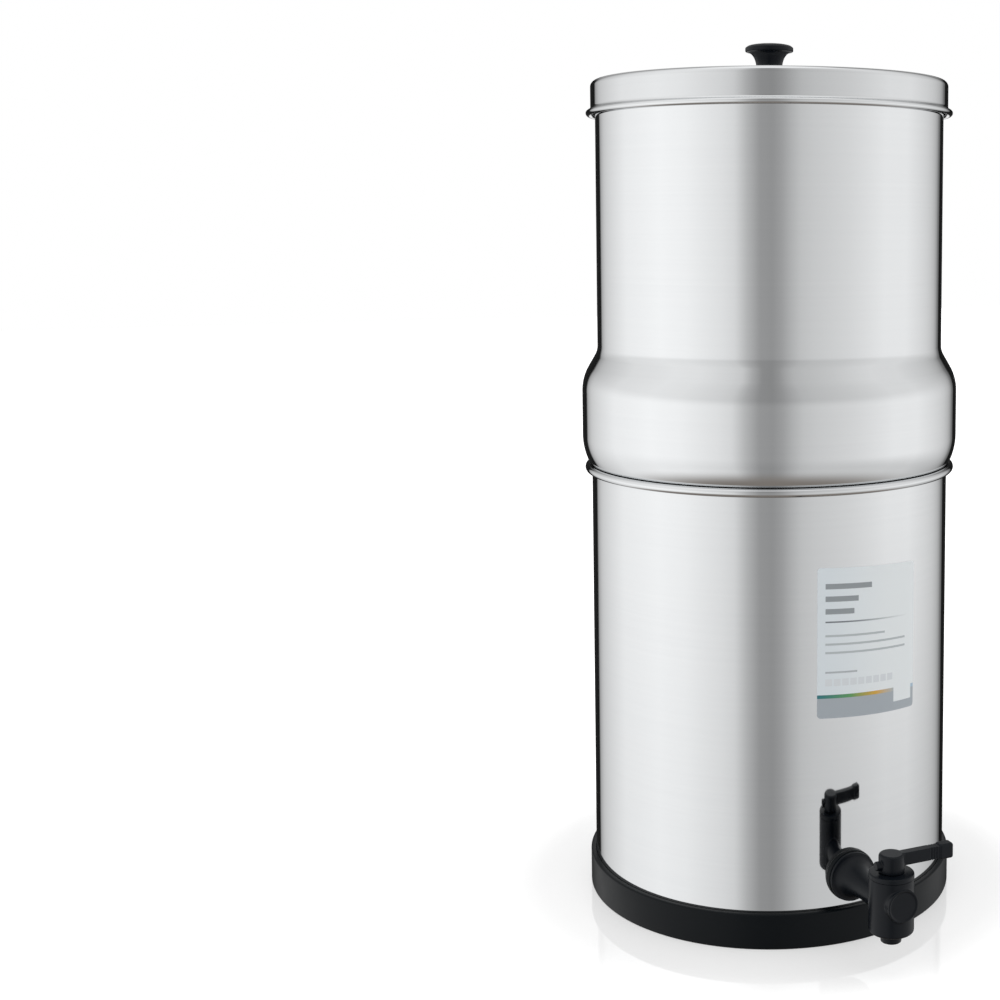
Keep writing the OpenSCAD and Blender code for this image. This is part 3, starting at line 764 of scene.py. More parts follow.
upper_shell = turned("upper_shell", sheet_outline(upper_path(), WALL), POLISHED, SHELL_STEPS)
for side in (-1, 1):
    stem_hole = rod(STEM_HOLE_R, floor_z - FLOOR_CUT, floor_z + FLOOR_CUT)
    cut_away(upper_shell, place(stem_hole, Matrix.Translation((side * candle_x, 0, 0))))
line_inside(upper_shell, SATIN, rim_z)
count_faces(upper_shell)

# %% [markdown]
# ## The lid
#
# A shallow pressed cap with a barely raised middle, so that water runs off, a round corner, and a skirt
# that flares out and rolls under at its edge. It hangs on the chamber's rim inside its corner.

# %% Press the lid
LID_ROLL_D = 3.7
LID_FLARE = 75
LID_CORNER_R = 3.6
LID_SKIRT = 19.5
LID_RISE = 1.5
LID_LAND_R = 11.5
LID_FLAT = 1.0
SCREW_HOLE_R = 2.55

lid_top = lid_high.z
lid_edge = lid_top - LID_RISE
lid_roll_r = lid_high.x - LID_ROLL_D / 2
lid_r = lid_roll_r - LID_ROLL_D / 2 + WALL


def lid_path():
    """The lid's outer face, from its middle down the skirt, which flares out and rolls under."""
    lip = Vector((lid_roll_r, lid_edge - LID_SKIRT))
    start = lip + polar(LID_ROLL_D / 2, LID_FLARE)
    flare_r = (start.x - lid_r) / (1 - math.cos(math.radians(LID_FLARE)))
    flare_z = start.y + flare_r * math.sin(math.radians(LID_FLARE))
    return (
        [(0, lid_top)]
        + ease(LID_LAND_R, lid_top, lid_r - LID_CORNER_R - LID_FLAT, lid_edge)
        + arc((lid_r - LID_CORNER_R, lid_edge - LID_CORNER_R), LID_CORNER_R, 90, 0)
        + arc((lid_r + flare_r, flare_z), flare_r, 180, 180 + LID_FLARE)
        + arc(lip, LID_ROLL_D / 2, LID_FLARE, LID_FLARE - ROLL_TURN)
    )


lid_shell = turned("lid_shell", sheet_outline(lid_path(), -WALL), POLISHED, SHELL_STEPS)
cut_away(lid_shell, rod(SCREW_HOLE_R, lid_top - FLOOR_CUT, lid_top + FLOOR_CUT))
count_faces(lid_shell)

# %% [markdown]
# ## The base ring
#
# A moulded rubber ring that the lower chamber is pushed into. It takes up the chamber's corner with the
# same round, and its edges are eased as any moulded edge is.

# %% Mould the base ring
RING_FIT = 0.05
RING_LIP_R = 92.0
RING_EDGE = 1.0
RING_EASE = 0.4


def ring_section():
    """The closed section of the base ring."""
    inner = lower_r + RING_FIT
    lip_in = RING_LIP_R + RING_EASE
    fillet = CORNER_R + RING_FIT
    return ring_outline(
        arc((lip_in, RING_EASE), RING_EASE, 180, 270)
        + low_round(ring_high.x, 0, RING_EDGE)
        + high_round(ring_high.x, ring_high.z, RING_EDGE)
        + arc((inner + RING_EASE, ring_high.z - RING_EASE), RING_EASE, 90, 180)
        + arc((inner - fillet, LIP_T + fillet), fillet, 0, -90)
        + arc((lip_in, LIP_T - RING_EASE), RING_EASE, 90, 180)
    )


base_foot = turned("base_foot", ring_section(), RUBBER, SHELL_STEPS)
count_faces(base_foot)

# %% [markdown]
# ## The knob
#
# A mushroom turned from one outline: a thin foot, a neck that sweeps out under the head, and a crowned
# head with a round edge.

# %% Turn the knob
knob_low, knob_high = corners("lid_knob")
KNOB_FOOT_R = 9.5
KNOB_FOOT_T = 1.5
KNOB_FOOT_EDGE = 0.5
KNOB_HOLLOW = 0.6
KNOB_NECK_R = 8.05
KNOB_NECK_Z = 7.5
KNOB_EDGE_T = 3.0
KNOB_CROWN = 2.2
KNOB_ROUND = 0.8
KNOB_HOLE_Z = 13.0
KNOB_HOLE_STEPS = 32


def knob_outline():
    """Half of the knob's section, above its foot."""
    base = knob_low.z
    foot_top = base + KNOB_FOOT_T
    crown = knob_high.z - KNOB_CROWN
    rim = knob_high.x - KNOB_ROUND
    head = crown - KNOB_EDGE_T
    return (
        [(0, base)]
        + low_round(KNOB_FOOT_R, base, KNOB_FOOT_EDGE)
        + high_round(KNOB_FOOT_R, foot_top, KNOB_FOOT_EDGE)
        + arc((KNOB_NECK_R + KNOB_HOLLOW, foot_top + KNOB_HOLLOW), KNOB_HOLLOW, 270, 180)
        + flare(KNOB_NECK_R, base + KNOB_NECK_Z, rim, head)
        + low_round(knob_high.x, head, KNOB_ROUND)
        + arc((rim, crown - KNOB_ROUND), KNOB_ROUND, 0, 80)
        + dome(rim, crown, KNOB_CROWN)[2:]
    )


knob = turned("knob", knob_outline(), PLASTIC, SHOWN_STEPS)
knob_bore = rod(SCREW_HOLE_R, knob_low.z - HOLE_PAST, knob_low.z + KNOB_HOLE_Z, KNOB_HOLE_STEPS)
cut_away(knob, knob_bore)
count_faces(knob)

# %% [markdown]
# ## The tap's casting
#
# Flange, trumpet, neck, barrel, nozzle and boss are one moulding on the real tap, and every inner corner
# has the small hollow that a moulder puts there. Booleans with a bevel tend to tear where turned shapes
# meet at an angle. So the rough shapes are turned, joined, wrapped in one fine voxel skin and smoothed a
# few times, which rounds edges and fills hollows alike. The bores are cut afterwards and stay crisp.

# %% Mould the tap's casting
bonnet_low, bonnet_high = corners("tap_bonnet")
body_low, body_high = corners("tap_body")
barrel_e = -tap_place.y
barrel_r = bonnet_high.x
barrel_top = body_high.z
nozzle_bottom = body_low.z
FLANGE_R = 14.5
FLANGE_T = 2.2
WASHER_T = 2.5
TRUMPET_L = 21.0
TRUMPET_STEP = 0.9
NECK_R = 7.2
BARREL_DOWN = 13.5
BARREL_EDGE = 1.5
NOZZLE_R = 5.8
NOZZLE_TAPER = 0.6
BOSS_R = 9.4
BOSS_UP = 5.6
BOSS_OUT = 1.0
BOSS_EDGE = 1.1
BOSS_RECESS = 0.5
TAIL_R = 8.0
BORE_R = 8.0
BORE_DOWN = 10.0
WATER_R = 4.0
CUT_PAST = 2.0
TAIL_EDGE = 1.0
VOXEL = 0.35

flange_e = lower_r + WASHER_T
tail_end = -body_high.y


def spout_outline():
    """The tail, flange, trumpet and neck, along the tap's axis."""
    neck_e = flange_e + FLANGE_T + TRUMPET_L
    trumpet = flare(NECK_R, neck_e, FLANGE_R - TRUMPET_STEP, flange_e + FLANGE_T)[::-1]
    tail = [(0, tail_end), (TAIL_R - TAIL_EDGE, tail_end), (TAIL_R, tail_end + TAIL_EDGE)]
    flange = [(TAIL_R, flange_e), (FLANGE_R, flange_e), (FLANGE_R, flange_e + FLANGE_T)]
    end = barrel_e - barrel_r / 2
    return tail + flange + trumpet + [(NECK_R, end), (0, end)]


def barrel_outline():
    """The upright barrel with its nozzle."""
    bottom = tap_z - BARREL_DOWN
    return (
        [(0, nozzle_bottom), (NOZZLE_R, nozzle_bottom), (NOZZLE_R + NOZZLE_TAPER, bottom)]
        + low_round(barrel_r, bottom, BARREL_EDGE)
        + [(barrel_r, barrel_top), (0, barrel_top)]
    )


def boss_outline():
    """The round boss with its bare, recessed face."""
    face = barrel_e + barrel_r + BOSS_OUT
    inner = BOSS_R - BOSS_EDGE
    recess = [(inner, face), (inner, face - BOSS_RECESS), (0, face - BOSS_RECESS)]
    return [(0, barrel_e), (BOSS_R, barrel_e), (BOSS_R, face)] + recess


def at_barrel(height=0.0):
    """Moves an upright shape to the barrel's axis."""
    return Matrix.Translation((0, -barrel_e, height))


casting_parts = [
    place(turned("spout", spout_outline(), None, SMALL_STEPS), tap_turned()),
    place(turned("barrel", barrel_outline(), None, SHOWN_STEPS), at_barrel()),
    place(turned("boss", boss_outline(), None, SMALL_STEPS), tap_turned(BOSS_UP)),
]
tap_casting = soft_union(casting_parts, "tap_casting", VOXEL, rounds=4)
bore_floor = tap_z - BORE_DOWN
bore_low = nozzle_bottom - CUT_PAST
bore_high = barrel_top + CUT_PAST
stepped = [(0, bore_low), (WATER_R, bore_low), (WATER_R, bore_floor)]
stepped += [(BORE_R, bore_floor), (BORE_R, bore_high), (0, bore_high)]
cut_away(tap_casting, place(turned("bore", stepped, None, SMALL_STEPS), at_barrel()))
waterway = rod(WATER_R, tail_end - CUT_PAST, barrel_e - BORE_R + HOLE_PAST)
cut_away(tap_casting, place(waterway, tap_turned()))
wear(tap_casting, PLASTIC)
count_faces(tap_casting)

# %% [markdown]
# ## The bonnet
#
# A cap pressed into the barrel's mouth. Its rim shows as a band above a fine seam, with a rounded edge, so
# it is turned with that edge as an arc.

# %% Turn the bonnet
BONNET_ROUND = 0.9
SEAM = 0.15
STEM_HOLE = 4.55
SPIGOT_R = 7.95
SPIGOT_EDGE = 0.5
spigot_low = bonnet_low.z
bonnet_outline = ring_outline(
    [(STEM_HOLE, spigot_low), (SPIGOT_R - SPIGOT_EDGE, spigot_low), (SPIGOT_R, spigot_low + SPIGOT_EDGE)]
    + [(SPIGOT_R, barrel_top), (barrel_r - 2 * SEAM, barrel_top), (barrel_r, barrel_top + SEAM)]
    + high_round(barrel_r, bonnet_high.z, BONNET_ROUND)
    + [(STEM_HOLE, bonnet_high.z)]
)
bonnet = place(turned("bonnet", bonnet_outline, PLASTIC, SHOWN_STEPS), at_barrel())
count_faces(bonnet)

# %% [markdown]
# ## The lever
#
# One moulding again: a hub with a domed edge, a flat bar, and a thicker grip with rounded corners at its
# end. Before the grip the bar has a row of finger grooves on both faces. A row is what Geometry Nodes do
# best: a line of points, one small block on each, all sizes as named inputs.

# %% Build the row of blocks
def build_row():
    """A tree that sets blocks in a row along x, on both sides of the middle."""
    tree = new_tree("row", [
        ("Count", "NodeSocketInt", 3),
        ("Pitch", "NodeSocketFloat", 0.0017),
        ("Start", "NodeSocketVector", (0, 0, 0)),
        ("Block", "NodeSocketVector", (0.001, 0.001, 0.01)),
        ("Material", "NodeSocketMaterial", None),
    ])
    wires = Wire(tree)
    given = wires.node("NodeGroupInput", out="Count")
    start = given.other("Start")
    along = {"Count": given, "Start Location": start, "Offset": wires.vector(given.other("Pitch"))}
    line = wires.node("GeometryNodeMeshLine", {"mode": "OFFSET"}, along)
    block = wires.node("GeometryNodeMeshCube", sockets={"Size": given.other("Block")})
    near = wires.node("GeometryNodeInstanceOnPoints", sockets={"Points": line, "Instance": block})
    back = wires.vector(y=start.split()[1] * -2)
    far = wires.node("GeometryNodeTransform", sockets={"Geometry": near, "Translation": back})
    both = wires.node("GeometryNodeJoinGeometry")
    for side in (near, far):
        both.plug_in(both.socket.node.inputs[0], side)
    end_tree(wires, both, given.other("Material"))
    return tree


ROW = build_row()

# %% Mould the lever
handle_low, handle_high = corners("tap_handle")
HUB_R = 7.3
HUB_H = 10.2
HUB_ROUND = 1.6
HUB_TOP_T = 2.6
BAR_H = 7.2
BAR_T = 5.0
BAR_DOWN = 0.3
BAR_SHORT = 2.0
GRIP_L = 9.0
GRIP_T = 6.6
GRIP_H = 8.8
GRIP_ROUND = 1.4
NUB_R = 2.6
NUB_L = 10.3
NUB_ROUND = 0.8
NUB_DOWN = 6.0
GROOVES = 3
GROOVE_W = 0.8
GROOVE_PITCH = 1.7
STEM_FLAT = 3.45
LEVER_VOXEL = 0.24
SEAT_CUT = 2.0
FLAT_CUT = 8.0

hub_z = handle_low.z
hub_top = hub_z + HUB_H
lever_l = handle_high.x
lever_z = hub_top - BAR_DOWN - BAR_H / 2


def block(name, low, high, edge=0.0):
    """A box from corner to corner, with round edges where asked."""
    shape = bmesh.new()
    size = Vector(high) - Vector(low)
    middle = (Vector(high) + Vector(low)) / 2
    bmesh.ops.create_cube(shape, size=1.0, matrix=Matrix.Translation(middle) @ Matrix.Diagonal((*size, 1)))
    if edge:
        bmesh.ops.bevel(shape, geom=shape.edges[:], offset=edge, segments=5, profile=0.5, affect="EDGES")
    piece = piece_of(name, shape)
    piece.data.transform(Matrix.Scale(MM, 4))
    return clean(piece)


def bar_block(name, start, end, thick, high, edge=0.0):
    """A box along the lever, centred on its line."""
    low = (start, -thick / 2, lever_z - high / 2)
    return block(name, low, (end, thick / 2, lever_z + high / 2), edge)


def lever_parts():
    """The rough shapes of hub, bar, grip and nub, on the hub's own axis."""
    hub = [(0, hub_z), (HUB_R, hub_z)] + high_round(HUB_R, hub_top, HUB_ROUND)
    nub = [(0, 0), (NUB_R, 0)] + high_round(NUB_R, NUB_L, NUB_ROUND) + [(0, NUB_L)]
    left = Matrix.Translation((0, 0, hub_top - NUB_DOWN)) @ Matrix.Rotation(math.radians(-90), 4, "Y")
    bar = bar_block("bar", 0, lever_l - BAR_SHORT, BAR_T, BAR_H)
    grip = bar_block("grip", lever_l - GRIP_L, lever_l, GRIP_T, GRIP_H, GRIP_ROUND)
    grooves = new_piece("grooves")
    first = lever_l - GRIP_L - GROOVES * GROOVE_PITCH
    run_tree(grooves, ROW, {
        "Count": GROOVES,
        "Pitch": GROOVE_PITCH * MM,
        "Start": [v * MM for v in (first, BAR_T / 2, lever_z)],
        "Block": [v * MM for v in (GROOVE_W, GROOVE_W, BAR_H + 1)],
    })
    bar = cut_away(bar, clean(grooves))
    hub = turned("hub", hub + [(0, hub_top)], None, SMALL_STEPS)
    return [hub, bar, grip, place(turned("nub", nub, None), left)]


lever = soft_union(lever_parts(), "lever", LEVER_VOXEL, rounds=3)
stem_seat = rod(STEM_HOLE, hub_z - SEAT_CUT, hub_top - HUB_TOP_T)
flat_low = (-FLAT_CUT, STEM_FLAT, hub_z - SEAT_CUT - HOLE_PAST)
flat = block("flat", flat_low, (FLAT_CUT, FLAT_CUT, hub_top))
cut_away(stem_seat, flat)
cut_away(lever, stem_seat)
wear(place(lever, at_barrel()), PLASTIC)
count_faces(lever)

# %% [markdown]
# ## The tap's washer
#
# The outer washer is rubber, saddle-shaped on the side of the round wall. It is turned as a disc with soft
# edges, and the chamber's cylinder is cut out of it.

# %% Turn the outer washer
WASHER_R = 15.0
WASHER_EDGE = 0.7
WASHER_GAP = 0.05
SADDLE_TOP = 80.0
saddle = lower_r - math.sqrt(lower_r ** 2 - WASHER_R ** 2)
washer_outline = ring_outline(
    [(HOLE_R, lower_r - 2 * saddle), (WASHER_R, lower_r - 2 * saddle)]
    + high_round(WASHER_R, flange_e, WASHER_EDGE)
    + [(HOLE_R, flange_e)]
)
outer_washer = place(turned("outer_washer", washer_outline, RUBBER, SMALL_STEPS), tap_turned())
cut_away(outer_washer, rod(lower_r + WASHER_GAP, 0, SADDLE_TOP, SHELL_STEPS))
count_faces(outer_washer)

# %% [markdown]
# ## The candles
#
# Each candle is a ceramic tube with a domed end, set in a black mount whose hollow stem goes through the
# chamber's floor. The stem carries a real thread here: the lathe lowers each point of the outline that
# lies on the stem's radius, by how far it is from the crest, and the crest climbs one pitch each turn.

# %% Make the candles
CERAMIC_R = 25.0
CERAMIC_WALL = 7.0
DOME_H = 22.0
SOCKET_R = 25.05
SOCKET_H = 8.0
MOUNT_ROUND = 1.0
SMALL_ROUND = 0.4
STEM_R = 6.0
STEM_EDGE = 1.0
STEM_BORE_R = 2.5
STEM_PITCH = 1.75
STEM_DEPTH = 0.75
SEAL_T = 2.3
SEAL_W = 5.2
SEAL_EDGE = 0.5
SEAL_FIT = 0.05
MOUNT_GAP = 0.3
THREAD_ROW = 0.16
THREAD_STOP = 0.5
OFF_THREAD = 0.001

mount_low, mount_high = corners("right_candle_mount")
mount_r = (mount_high.x - mount_low.x) / 2
ceramic_low, ceramic_high = corners("right_candle_ceramic")
ceramic_top = ceramic_high.z
floor_top = floor_z + WALL
mount_z = floor_top + SEAL_T


def tube_outline():
    """The ceramic: a tube with a domed end, open below."""
    dome_z = ceramic_top - DOME_H
    inner = CERAMIC_R - CERAMIC_WALL
    start = ceramic_low.z
    foot = [(inner, start), (CERAMIC_R - SMALL_ROUND, start), (CERAMIC_R, start + SMALL_ROUND)]
    inside = dome(inner, dome_z, DOME_H - CERAMIC_WALL)
    return inside[::-1] + foot + dome(CERAMIC_R, dome_z, DOME_H)


def mount_outline():
    """The mount's closed section: stem, plate, rim and socket, with the bore inside."""
    plate_z = floor_top + MOUNT_GAP
    plate_r = mount_r - SEAL_W
    top = mount_high.z
    return ring_outline(
        [(STEM_BORE_R, mount_low.z), (STEM_R - STEM_EDGE, mount_low.z)]
        + steps_between((STEM_R, mount_low.z + STEM_EDGE), (STEM_R, plate_z - THREAD_STOP), THREAD_ROW)
        + [(STEM_R + OFF_THREAD, plate_z), (plate_r, plate_z), (plate_r, mount_z)]
        + low_round(mount_r, mount_z, SMALL_ROUND)
        + high_round(mount_r, top, MOUNT_ROUND)
        + [(SOCKET_R, top), (SOCKET_R, top - SOCKET_H), (STEM_BORE_R, top - SOCKET_H)]
    )


def seal_outline():
    """The flat seal under the mount's rim."""
    inner = mount_r - SEAL_W + SEAL_FIT
    rounds = low_round(mount_r, floor_top, SEAL_EDGE) + high_round(mount_r, mount_z, SEAL_EDGE)
    return ring_outline([(inner, floor_top)] + rounds + [(inner, mount_z)])


def candle(side, name):
    """One candle's ceramic, mount and seal."""
    put = Matrix.Translation((side * candle_x, 0, 0))
    thread = (STEM_R, STEM_PITCH, STEM_DEPTH)
    return [
        place(turned(name + "_ceramic_tube", tube_outline(), CERAMIC, SMALL_STEPS), put),
        place(turned(name + "_mount_moulding", mount_outline(), PLASTIC, SMALL_STEPS, thread), put),
        place(turned(name + "_seal_ring", seal_outline(), SILICONE, SMALL_STEPS), put),
    ]


candles = {"left": candle(-1, "left"), "right": candle(1, "right")}
count_faces(*candles["right"])

# %% [markdown]
# ## The wing nuts
#
# Under the upper chamber's floor a wing nut holds each candle. It is moulded like the tap: a flange, a hub
# and two wings wrapped in one soft skin, with a plain hole for the stem cut afterwards.

# %% Mould the wing nuts
NUT_FLANGE_R = 11.5
NUT_FLANGE_T = 2.5
NUT_HUB_R = 9.0
NUT_WING_R = 20.0
NUT_WING_T = 3.0
NUT_TAPER = 2.0
NUT_HOLE_R = 6.05
NUT_VOXEL = 0.4

nut_low, nut_high = corners("right_wing_nut")
nut_h = nut_high.z - nut_low.z


def wing_outline():
    """One wing seen from the side, in x and z downwards from the nut's top."""
    tip_r = (nut_h - NUT_FLANGE_T) / 2
    tip = (NUT_WING_R - tip_r, NUT_FLANGE_T + tip_r)
    return [(0, 0)] + arc(tip, tip_r, -90, 90) + [(0, nut_h - NUT_TAPER)]


def wing(turn):
    """A flat wing of the nut's wing thickness."""
    side = wing_outline()
    count = len(side)
    half = NUT_WING_T / 2
    points = [(x, y, -z) for y in (-half, half) for x, z in side]
    faces = [list(range(count)), [count + i for i in reversed(range(count))]]
    faces += [(i, count + i, count + (i + 1) % count, (i + 1) % count) for i in range(count)]
    return place(clean(new_piece("wing", points, faces=faces)), Matrix.Rotation(turn, 4, "Z"))


def wing_nut(name, side):
    """One wing nut, in place under the floor."""
    flange = [(0, 0), (NUT_FLANGE_R, 0), (NUT_FLANGE_R, -NUT_FLANGE_T)]
    hub = flange + [(NUT_HUB_R, -NUT_FLANGE_T), (NUT_HUB_R, -nut_h), (0, -nut_h)]
    parts = [turned("hub", hub, None, SMALL_STEPS), wing(0), wing(math.pi)]
    nut = soft_union(parts, name, NUT_VOXEL, rounds=3)
    cut_away(nut, rod(NUT_HOLE_R, -nut_h - HOLE_PAST, HOLE_PAST))
    return wear(place(nut, Matrix.Translation((side * candle_x, 0, nut_high.z))), PLASTIC)


left_nut = wing_nut("left_nut_moulding", -1)
right_nut = wing_nut("right_nut_moulding", 1)
count_faces(right_nut)

# %% [markdown]
# ## The label
#
# A printed film sticks to the lower chamber, beside the tap. A decal image would be the usual way. Here
# the sheet is real geometry, a rounded rectangle bent round the wall, and its print is drawn by shader
# maths on its own UV map: a pale ground, grey bars, a thin rule, blank fields, and a stripe over a plain
# band at the foot.

# %% Bend the label
LABEL_FROM = -10.8
LABEL_TO = 25.0
LABEL_LOW = 134.0
LABEL_HIGH = 222.3
LABEL_CORNER = 2.2
LABEL_FALL = -0.047
LABEL_BACK = 0.02
LABEL_T = 0.12
LABEL_COLUMNS = 48
LABEL_ROWS = 60
CORNER_STEPS = 8

label_w = math.radians(LABEL_TO - LABEL_FROM) * lower_r


def film_rows(height):
    """Heights of the film's rows of points, close together at its round corners."""
    angles = [math.pi / 2 * i / CORNER_STEPS for i in range(CORNER_STEPS)]
    corner = [LABEL_CORNER * (1 - math.cos(a)) for a in angles]
    middle = steps_between((LABEL_CORNER, 0), (height - LABEL_CORNER, 0), height / LABEL_ROWS)
    return corner + [p[0] for p in middle] + [height - c for c in corner[::-1]]


def film_row(up, width, height):
    """Places across the film at one height, from one edge to the other."""
    nearest = max(0.0, LABEL_CORNER - min(up, height - up))
    inset = LABEL_CORNER - math.sqrt(max(0.0, LABEL_CORNER ** 2 - nearest ** 2))
    return [inset + (width - 2 * inset) * i / LABEL_COLUMNS for i in range(LABEL_COLUMNS + 1)]


def bent(across, up):
    """A place on the flat film, bent round the wall. Its lines fall a little to one side."""
    angle = math.radians(LABEL_FROM) + across / lower_r - math.pi / 2
    radius = lower_r + LABEL_T
    fall = (across - label_w / 2) * LABEL_FALL
    return (radius * math.cos(angle), radius * math.sin(angle), LABEL_LOW + up + fall)


def label_mesh():
    """The film, bent round the wall and given its thickness, with UVs over its face."""
    height = LABEL_HIGH - LABEL_LOW
    rows = film_rows(height)
    flat = [(across, up) for up in rows for across in film_row(up, label_w, height)]
    row = LABEL_COLUMNS + 1
    starts = [r * row + i for r in range(len(rows) - 1) for i in range(LABEL_COLUMNS)]
    faces = [(i, i + 1, i + row + 1, i + row) for i in starts]
    piece = new_piece("front_label", [bent(*p) for p in flat], faces=faces)
    layer = piece.data.uv_layers.new(name="print")
    for loop, target in zip(piece.data.loops, layer.data):
        across, up = flat[loop.vertex_index]
        target.uv = (across / label_w, up / height)
    modify(piece, "SOLIDIFY", thickness=(LABEL_T - LABEL_BACK) * MM, offset=-1)
    return clean(bake(piece))


# %% [markdown]
# The print is masks on the UV map. Each mask is a product of comparisons, such as `(v > 0.1) * (v < 0.2)`,
# and each colour is laid over the last with a mix. Grey bars stand for lines of text. A box is its left,
# low, right and high edge, as shares of the label's width and height.

# %% Print the label
LABEL_PALE = rgb(0.84, 0.905, 0.945)
LABEL_WHITE = rgb(0.94, 0.985, 1.0)
INK = rgb(0.20, 0.22, 0.24)
MARGIN = 0.07
RULE_BOX = (MARGIN, 0.636, 0.89, 0.646)
STRIPE_BOX = (0.0, 0.133, 1.0, 0.157)
BARE_BOX = (0.745, 0.06, 0.965, 0.30)
FIELD_W = 0.06
FIELD_PITCH = 0.075
FIELDS = 9
STRIPE = [
    (0.0, (0.03, 0.20, 0.24)),
    (0.3, (0.12, 0.36, 0.12)),
    (0.55, (0.75, 0.42, 0.06)),
    (0.8, (0.45, 0.60, 0.72)),
]


def text_bars(top, pitch, thick, shade, ends):
    """Bars below each other in place of lines of text, from the margin to an end each."""
    tops = [top - pitch * i for i in range(len(ends))]
    return [((MARGIN, high - thick, end, high), shade) for high, end in zip(tops, ends)]


PRINT_BOXES = [((0.0, 0.0, 1.0, 0.137), (0.45, 0.495, 0.535))]
PRINT_BOXES += text_bars(0.895, 0.083, 0.036, (0.34, 0.37, 0.39), (0.50, 0.37, 0.33))
PRINT_BOXES += text_bars(0.556, 0.056, 0.014, (0.54, 0.58, 0.60), (0.64, 0.88, 0.88))
PRINT_BOXES += text_bars(0.312, 0.0, 0.012, (0.50, 0.53, 0.56), (0.36,))
field_starts = [MARGIN + FIELD_PITCH * i for i in range(FIELDS)]
PRINT_BOXES += [((start, 0.215, start + FIELD_W, 0.262), (0.80, 0.84, 0.87)) for start in field_starts]


def box_mask(u, v, left, low, right, high):
    """1 inside a rectangle of the UV map."""
    return (u > left) * (u < right) * (v > low) * (v < high)


def label_print(wires):
    """A generic label: ground, bars, blank fields, rule, stripe and a foot band."""
    where = wires.node("ShaderNodeTexCoord", out="UV")
    u, v, _ = where.split()
    cloud = noise(wires, where, 3.0, 2.0)
    ground = colour = u.between(0.0, 0.7).mix(LABEL_PALE, LABEL_WHITE)
    for box, shade in PRINT_BOXES:
        colour = box_mask(u, v, *box).mix(colour, rgb(*shade))
    stripe = wires.node("ShaderNodeValToRGB", {"stops": STRIPE}, {"Fac": u})
    rule = box_mask(u, v, *RULE_BOX) * (1 - u.between(0.2, 1.0))
    colour = rule.mix(colour, INK)
    colour = box_mask(u, v, *STRIPE_BOX).mix(colour, stripe)
    colour = box_mask(u, v, *BARE_BOX).mix(colour, ground)
    return {"Base Color": colour, "Roughness": 0.30 + cloud * 0.06}


LABEL = finish("printed_film", label_print, {"Specular IOR Level": 0.4})
label = wear(label_mesh(), LABEL)
count_faces(label)

# %% [markdown]
# ## Pieces that stay as solids
#
# The plug, its O-rings, the carbon blocks and the fixings have their true shape already. They keep their
# solid and get a finish.

# %% Dress the remaining solids
KEPT = {
    PLASTIC: ["tap_plug", "tap_back_nut"],
    RUBBER: ["plug_seal_upper", "plug_seal_lower", "tap_inner_washer"],
    CARBON: ["left_candle_core", "right_candle_core"],
    FASTENER: ["knob_washer", "knob_screw"],
}
for material, nodes in KEPT.items():
    for node in nodes:
        wear(frame["nodes"][node], material)
print("solids kept:", sum(len(nodes) for nodes in KEPT.values()))

# %% [markdown]
# ## Bodies
#
# Each piece now rides on the body that carries it and takes the place of its solid. This comes last, when
# every mesh is final.

# %% Tie the pieces to the bodies
def tie(piece, body, node):
    """Lets a piece ride on a body, in the place of a solid."""
    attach(piece, body)
    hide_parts(node)


tie(lower_shell, "lower_half", "lower_chamber")
tie(base_foot, "lower_half", "base_ring")
tie(tap_casting, "lower_half", "tap_body")
tie(bonnet, "lower_half", "tap_bonnet")
tie(outer_washer, "lower_half", "tap_outer_washer")
tie(lever, "tap_lever", "tap_handle")
tie(upper_shell, "upper_half", "upper_chamber")
for side, (tube, mount, seal) in candles.items():
    tie(tube, "upper_half", side + "_candle_ceramic")
    tie(mount, "upper_half", side + "_candle_mount")
    tie(seal, "upper_half", side + "_candle_seal")
tie(left_nut, "left_nut", "left_wing_nut")
tie(right_nut, "right_nut", "right_wing_nut")
tie(lid_shell, "lid_cover", "lid")
tie(knob, "lid_cover", "lid_knob")
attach(label, "lower_half")

# %% [markdown]
# ## The floor
#
# A white, lacquered sweep. Its own light is added for camera rays only, so that it reads as white without
# sending more light to the object, and the part of it that is real paint keeps the soft shadow. Near the
# foot this added light is weaker, which paints a soft shade round the object. The lacquer gives a faint
# mirror image of the foot, and ends a little way off.

# %% Lay the floor
FLOOR_HALF = 6000
FLOOR_PAINT = 0.65
# The camera-only light is weaker near the foot: a painted soft shade round the object.
FOOT_GLOW_WITH_PAINTED_SHADE = 0.55
FLOOR_GLOW = 0.90
LACQUER_IOR = 2.0
FADE_OUT = (0.14, 0.22)


def white_paint(wires):
    """Paint that looks white to the camera, with a painted soft shade near the foot where its own light is
    weaker, and a lacquer that ends a little way off.
    """
    _, x, y, _ = object_place(wires)
    far = ((x * x + y * y) ** 0.5).between(*FADE_OUT)
    # Weaker camera-only light near the foot paints a soft shade round the object.
    glow_and_painted_shade = far.mix(grey(FOOT_GLOW_WITH_PAINTED_SHADE), grey(FLOOR_GLOW))
    seen = wires.node("ShaderNodeLightPath", out="Is Camera Ray")
    return {"Coat Weight": 1 - far, "Emission Color": seen.mix(grey(0), glow_and_painted_shade)}


FLOOR_WHITE = finish("white_floor", white_paint, {
    "Base Color": grey(FLOOR_PAINT),
    "Roughness": 0.5,
    "Specular IOR Level": 0.0,
    "Coat Roughness": 0.01,
    "Coat IOR": LACQUER_IOR,
    "Emission Strength": 1.0,
})
corners_xy = [(-1, -1), (1, -1), (1, 1), (-1, 1)]
floor_points = [(x * FLOOR_HALF, y * FLOOR_HALF, 0) for x, y in corners_xy]
floor = new_piece("floor", floor_points, faces=[(0, 1, 2, 3)])
wear(floor, FLOOR_WHITE)
floor.visible_glossy = False

# %% [markdown]
# ## The light
#
# Polished metal shows the studio and little of itself, so the studio is part of the finish. The world is a
# round light tent: bright panels at both sides, a darker gap in front of the object, and black flags behind
# it that draw its edges. Two colour ramps over the compass direction describe it, each a list of degrees
# and levels, and its height is shaded by a few soft steps. Lamps in the same places would do as well, but
# each edge between them would have to be softened by hand.

